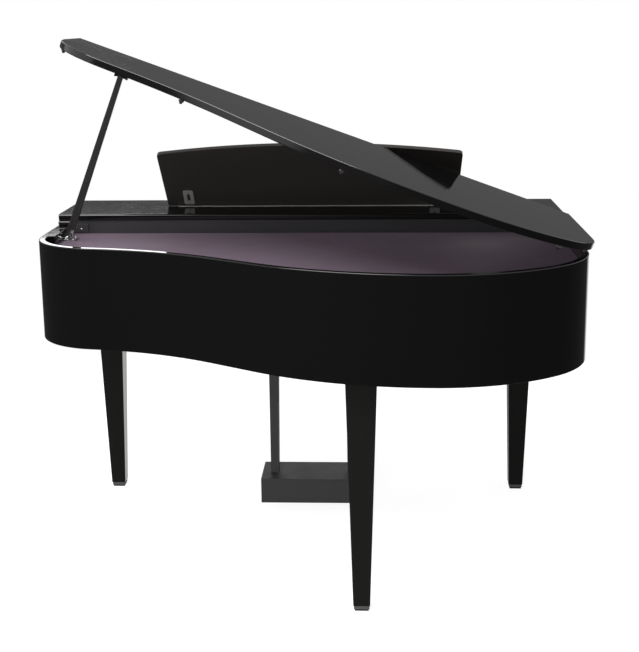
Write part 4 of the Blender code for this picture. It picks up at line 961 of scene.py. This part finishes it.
def black_key(index):
    """A block that narrows upwards and slopes at its front."""
    middle, front = sum(sharp_slot(index)) / 2, KEY_HEAD_END + 0.001
    mesh = box("key", (middle - SHARP_HALF, front, KEY_LOW), (middle + SHARP_HALF, SHARP_BACK, KEY_HIGH + SHARP_RISE))
    for spot in (vertex.co for vertex in mesh.vertices):
        if spot.z > KEY_HIGH:
            spot.x = middle + (spot.x - middle) * SHARP_TOP_HALF / SHARP_HALF
            if spot.y < SHARP_BACK / 2:
                spot.y += SHARP_SLOPE
    return [mesh]


def add_keys(body, indices, kind, finish, edge):
    meshes = [mesh for index in indices for mesh in kind(index)]
    dress(together(f"{body}_keys", meshes), body, finish, [body], edge=edge)
    return len(indices)


# %% Make the keys
MIDDLE_C = 23
white, black = (white_key, KEY_WHITE, 0.0006), (black_key, KEY_BLACK, 0.0011)
groups = {
    "naturals_low": (range(MIDDLE_C), white), "naturals_high": (range(MIDDLE_C + 3, NATURALS), white),
    "key_c4": ([MIDDLE_C], white), "key_d4": ([MIDDLE_C + 1], white), "key_e4": ([MIDDLE_C + 2], white),
    "key_c4_sharp": ([MIDDLE_C], black), "key_d4_sharp": ([MIDDLE_C + 1], black),
    "sharps_low": ([index for index in range(MIDDLE_C) if has_sharp(index)], black),
    "sharps_high": ([index for index in range(MIDDLE_C + 3, NATURALS) if has_sharp(index)], black),
}
made = sum(add_keys(body, indices, *style) for body, (indices, style) in groups.items())
keep_solid("key_frame", BARE_WOOD, 0.0008)
print("keys made:", made)

# %% [markdown]
# ## Front of the case and the controls
#
# Round the keys lie the keyslip, the two cheeks, the sliding cover and the sloping panel. All are plain lacquered
# boards. The knob is turned with a fluted grip and a white pointer line, and the round buttons are dished where a
# finger meets them.

# %% Keyslip, cheeks, cover and panel
PANEL_SLOPE = 20
PANEL_FOOT = Vector((0, 0.180, 0.7605))
CONTROL_HEIGHT = 0.062

for name in ("keyslip", "cheek_treble", "cheek_bass", "key_cover"):
    keep_solid(name, LACQUER, 0.0014, 3)
keep_solid("control_panel", LACQUER, 0.0004)


def on_panel(x):
    """A placing matrix on the panel's face, with Z out of the face and Y up the slope."""
    slope = math.radians(PANEL_SLOPE)
    spot = PANEL_FOOT + Vector((x, CONTROL_HEIGHT * math.sin(slope), CONTROL_HEIGHT * math.cos(slope)))
    return CASE @ Matrix.Translation(spot) @ rotation(90 - PANEL_SLOPE, "X")


# %% Buttons
for name, x, radius in (("power", -0.625, 0.0075), ("voice", -0.495, 0.0055), ("metronome", -0.455, 0.0055)):
    cap = turned(f"{name}_cap", [
        (0, 0.0024), (radius * 0.5, 0.0026), (radius * 0.82, 0.0030), (radius * 0.94, 0.0028), (radius, 0.0020),
        (radius, -0.0100), (0, -0.0100),
    ])
    dress(cap, f"{name}_button", DARK_PLASTIC, [f"{name}_button"], place=on_panel(x))
    ring = turned(f"{name}_ring", [
        (radius + 0.0006, 0), (radius + 0.0006, 0.0006), (radius + 0.0012, 0.0009), (radius + 0.0020, 0.0006),
        (radius + 0.0022, 0), (radius + 0.0006, 0),
    ])
    dress(ring, "case", STEEL, place=on_panel(x))

# %% Volume knob
KNOB_X = -0.560
FLUTES = 24
GRIP_RADIUS = 0.0109


def fluted_knob():
    """A turned knob whose side waves in and out, so that fingers hold it."""
    profile = [(0, 0.0128), (0.0088, 0.0128), (0.0104, 0.0122), (0.0111, 0.0112), (0.0113, 0.0100), (0.0113, 0.0018),
               (0.0108, 0.0008), (0.0030, 0.0008), (0.0030, -0.0100), (0, -0.0100)]
    mesh = turned("volume_grip", profile, 144)
    for spot in (vertex.co for vertex in mesh.vertices):
        if spot.xy.length > GRIP_RADIUS:
            spot.xy *= 1 + 0.022 * math.cos(FLUTES * math.atan2(spot.y, spot.x))
    return mesh


dress(fluted_knob(), "volume_knob", DARK_PLASTIC, ["volume_knob"], place=on_panel(KNOB_X))
pointer = box("volume_pointer", (-0.0005, 0.0040, 0.0124), (0.0005, 0.0098, 0.0131))
dress(pointer, "volume_knob", KEY_WHITE, place=on_panel(KNOB_X), edge=0.0002)

# %% [markdown]
# ## Underneath and inside
#
# Two speakers look down through the bottom board, each behind a punched steel mesh. A box at the bass end holds the
# mains inlet and two jacks. The mesh could be faked with a bump, but holes seen from below need real edges, so it
# is built from hexagons that each have a six-sided hole.

# %% Speaker meshes
MESH_RADIUS, MESH_CELL, MESH_HOLE = 0.0600, 0.0026, 0.0019


def punched_disc(name):
    """Hexagons with six-sided holes, as far as they fit into the disc."""
    shape = bmesh.new()
    corners = [rotation(30 + 60 * step, "Z") @ Vector((1, 0, 0)) for step in range(6)]
    rows = int(MESH_RADIUS / (MESH_CELL * 1.5)) + 1
    for row in range(-rows, rows + 1):
        for column in range(-2 * rows, 2 * rows + 1):
            middle = Vector((MESH_CELL * math.sqrt(3) * (column + (row % 2) / 2), MESH_CELL * 1.5 * row, 0))
            if middle.length <= MESH_RADIUS - MESH_CELL:
                skin(shape, [[shape.verts.new(middle + size * corner) for corner in corners]
                             for size in (MESH_HOLE, MESH_CELL)], capped=False)
    bmesh.ops.remove_doubles(shape, verts=shape.verts, dist=0.00001)
    return hand_over(name, shape)


for name, x, y in (("bass", -0.400, 0.800), ("treble", 0.300, 0.620)):
    keep_solid(f"speaker_{name}", RUBBER)
    grille = punched_disc(f"speaker_mesh_{name}")
    grille.transform(Matrix.Translation((x, y, 0.6004)))
    sheet = dress(grille, "case", DARK_PLASTIC).modifiers.new("sheet", "SOLIDIFY")
    sheet.thickness = 0.0008
    ring = turned(f"speaker_ring_{name}", [
        (0.0570, 0.6008), (0.0660, 0.6008), (0.0660, 0.5998), (0.0645, 0.5991), (0.0580, 0.5991), (0.0570, 0.5998),
        (0.0570, 0.6008),
    ], 72)
    ring.transform(Matrix.Translation((x, y, 0)))
    dress(ring, "case", DARK_PLASTIC)

# %% Sockets and amplifier
SOCKET_X, SOCKET_HALF = -0.560, 0.065
keep_solid("socket_box", DARK_PLASTIC, 0.0008)
keep_solid("amplifier_board", CIRCUIT)
box_low, box_high = case_box("socket_box")
inlet = Vector((SOCKET_X - SOCKET_HALF / 2, box_high.y - 0.012, (box_low.z + box_high.z) / 2))
blade_half = Vector((0.0010, 0.008, 0.0024))
for number, (dx, dz) in enumerate(((-0.007, 0.002), (0, -0.003), (0.007, 0.002))):
    middle = inlet + Vector((dx, 0, dz))
    blade = box(f"inlet_blade_{number}", middle - blade_half, middle + blade_half)
    dress(blade, "case", STEEL, edge=0.0004)
for number, share in enumerate((0.15, 0.55)):
    ring = turned(f"jack_ring_{number}", [
        (0.0052, 0.0012), (0.0062, 0.0014), (0.0072, 0.0008), (0.0072, 0), (0.0052, 0), (0.0052, 0.0012),
    ])
    spot = Matrix.Translation((SOCKET_X + SOCKET_HALF * share, box_high.y, inlet.z))
    ring.transform(spot @ rotation(-90, "X"))
    dress(ring, "case", STEEL)

# %% [markdown]
# ## Floor and world
#
# The photograph has a clean white ground. The floor is a pale disc just wide enough for the piano's soft shadow. Its
# surface adds plain white for the camera, so that it runs into the background without a horizon. Its edge would show
# as a step across the legs, so mirrors don't see it. The world is white to the camera, a plain soft grey to matt
# surfaces, and a studio to mirrors: white walls that start 11 degrees above the horizon, over a floor that is dark
# except behind the piano on the bass side. Black lacquer is mostly reflection. This is what makes the rim's side
# dark, the inner sides of the legs light, and the lid's top grey, since it mirrors the band above the horizon.

# %% Floor
PALE_FLOOR = new_finish("pale_floor", (0.40, 0.40, 0.40), 0.9)
lift_by_noise(PALE_FLOOR, 60.0, 0.0001)
to_camera = add_node(PALE_FLOOR, "ShaderNodeLightPath").outputs["Is Camera Ray"]
surface(PALE_FLOOR, Specular_IOR_Level=0.0, Emission_Color=(1, 1, 1, 1),
        Emission_Strength=span(PALE_FLOOR, to_camera, 0, 0.90, 0, 1))

floor_mesh = turned("studio_floor", [(0, 0), (0.9, 0), (1.8, 0)], 96)
floor_mesh.transform(Matrix.Translation((0, -0.45, 0)))
floor_mesh.materials.append(PALE_FLOOR)
floor = add_object("studio_floor", floor_mesh)
floor.visible_glossy = False

# %% World
PLAIN_GREY = 0.29
WHITE = (1, 1, 1, 1)
STUDIO_WALL = ((-1.0, 0.10), (-0.35, 0.05), (-0.02, 0.05), (0.02, 0.125), (0.172, 0.125), (0.20, 1.0), (1.0, 0.8))
LIT_FLOOR = (("X", 0.12, -0.06), ("Y", -0.84, -0.91), ("Z", 0.0, -0.03))

world = bpy.data.worlds.new("studio")
world.use_nodes = True
world.node_tree.nodes.clear()
scene.world = world


def combine(operation, first, second):
    node = add_node(world, "ShaderNodeMath", {"operation": operation})
    world.node_tree.links.new(first, node.inputs[0])
    world.node_tree.links.new(second, node.inputs[1])
    return node.outputs["Value"]


toward = add_node(world, "ShaderNodeSeparateXYZ", Vector=add_node(world, "ShaderNodeTexCoord").outputs["Generated"])
wall = add_node(world, "ShaderNodeValToRGB", Fac=span(world, toward.outputs["Z"], 0, 1, -1, 1))
stops = wall.color_ramp.elements
while len(stops) < len(STUDIO_WALL):
    stops.new(0.5)
for stop, (rise, grey) in zip(stops, STUDIO_WALL):
    stop.position = (rise + 1) / 2
    stop.color = (grey, grey, grey, 1)

sides = [span(world, toward.outputs[axis], 0, 1, start, end) for axis, start, end in LIT_FLOOR]
on_floor = combine("MULTIPLY", combine("MULTIPLY", sides[0], sides[1]), sides[2])
rays = add_node(world, "ShaderNodeLightPath").outputs
seen = combine("MAXIMUM", rays["Is Camera Ray"], rays["Is Transmission Ray"])
mirrored = mix_colours(world, on_floor, wall.outputs["Color"], WHITE)
unseen = mix_colours(world, rays["Is Glossy Ray"], (PLAIN_GREY, PLAIN_GREY, PLAIN_GREY, 1), mirrored)
light = add_node(world, "ShaderNodeBackground", Color=mix_colours(world, seen, unseen, WHITE))
add_node(world, "ShaderNodeOutputWorld", Surface=light.outputs["Background"])
print("the world has", len(world.node_tree.nodes), "nodes")

# %% [markdown]
# ## Lamps
#
# Three large softboxes light the piano: one above the tail, whose light falls past the lid onto the near band of the
# sound panel, one at the treble side that shines in under the open lid, and a low one beside the camera, which
# lights upright faces and hardly the panel. A narrow strip far behind stands where the rim's flat top mirrors it
# and the lid does not. It draws the white line round the treble bend and gives almost no light of its own. The
# treble and front lamps are kept out of mirrors, as a photographer flags a lamp that would show in the lacquer. A
# hard sun would model the shape more, but the photograph has no hard shadow anywhere.

# %% Lamps
def softbox(name, place, target, width, height, watts, in_mirrors):
    lamp = add_object(name, bpy.data.lights.new(name, "AREA"))
    lamp.data.shape = "RECTANGLE"
    lamp.data.size, lamp.data.size_y, lamp.data.energy = width, height, watts
    lamp.location = place
    lamp.rotation_euler = (Vector(target) - Vector(place)).to_track_quat("-Z", "Y").to_euler()
    lamp.visible_glossy = in_mirrors
    lamp.visible_camera = False
    print(name, "has", watts, "watts")


softbox("softbox_overhead", (1.4, 1.5, 4.0), (0, 0.1, 0.8), 2.6, 2.0, 150, True)
softbox("softbox_strip", (1.85, -4.4, 1.71), (1.2, 0.8, 1.2), 1.5, 0.18, 3.2, True)
softbox("softbox_treble", (4.2, 0.5, 2.3), (0, 0, 0.85), 2.0, 1.6, 36, False)
softbox("softbox_front", (1.4, 4.8, 1.0), (0, 0, 0.5), 2.0, 1.6, 140, False)
scene.view_settings.view_transform = "Standard"
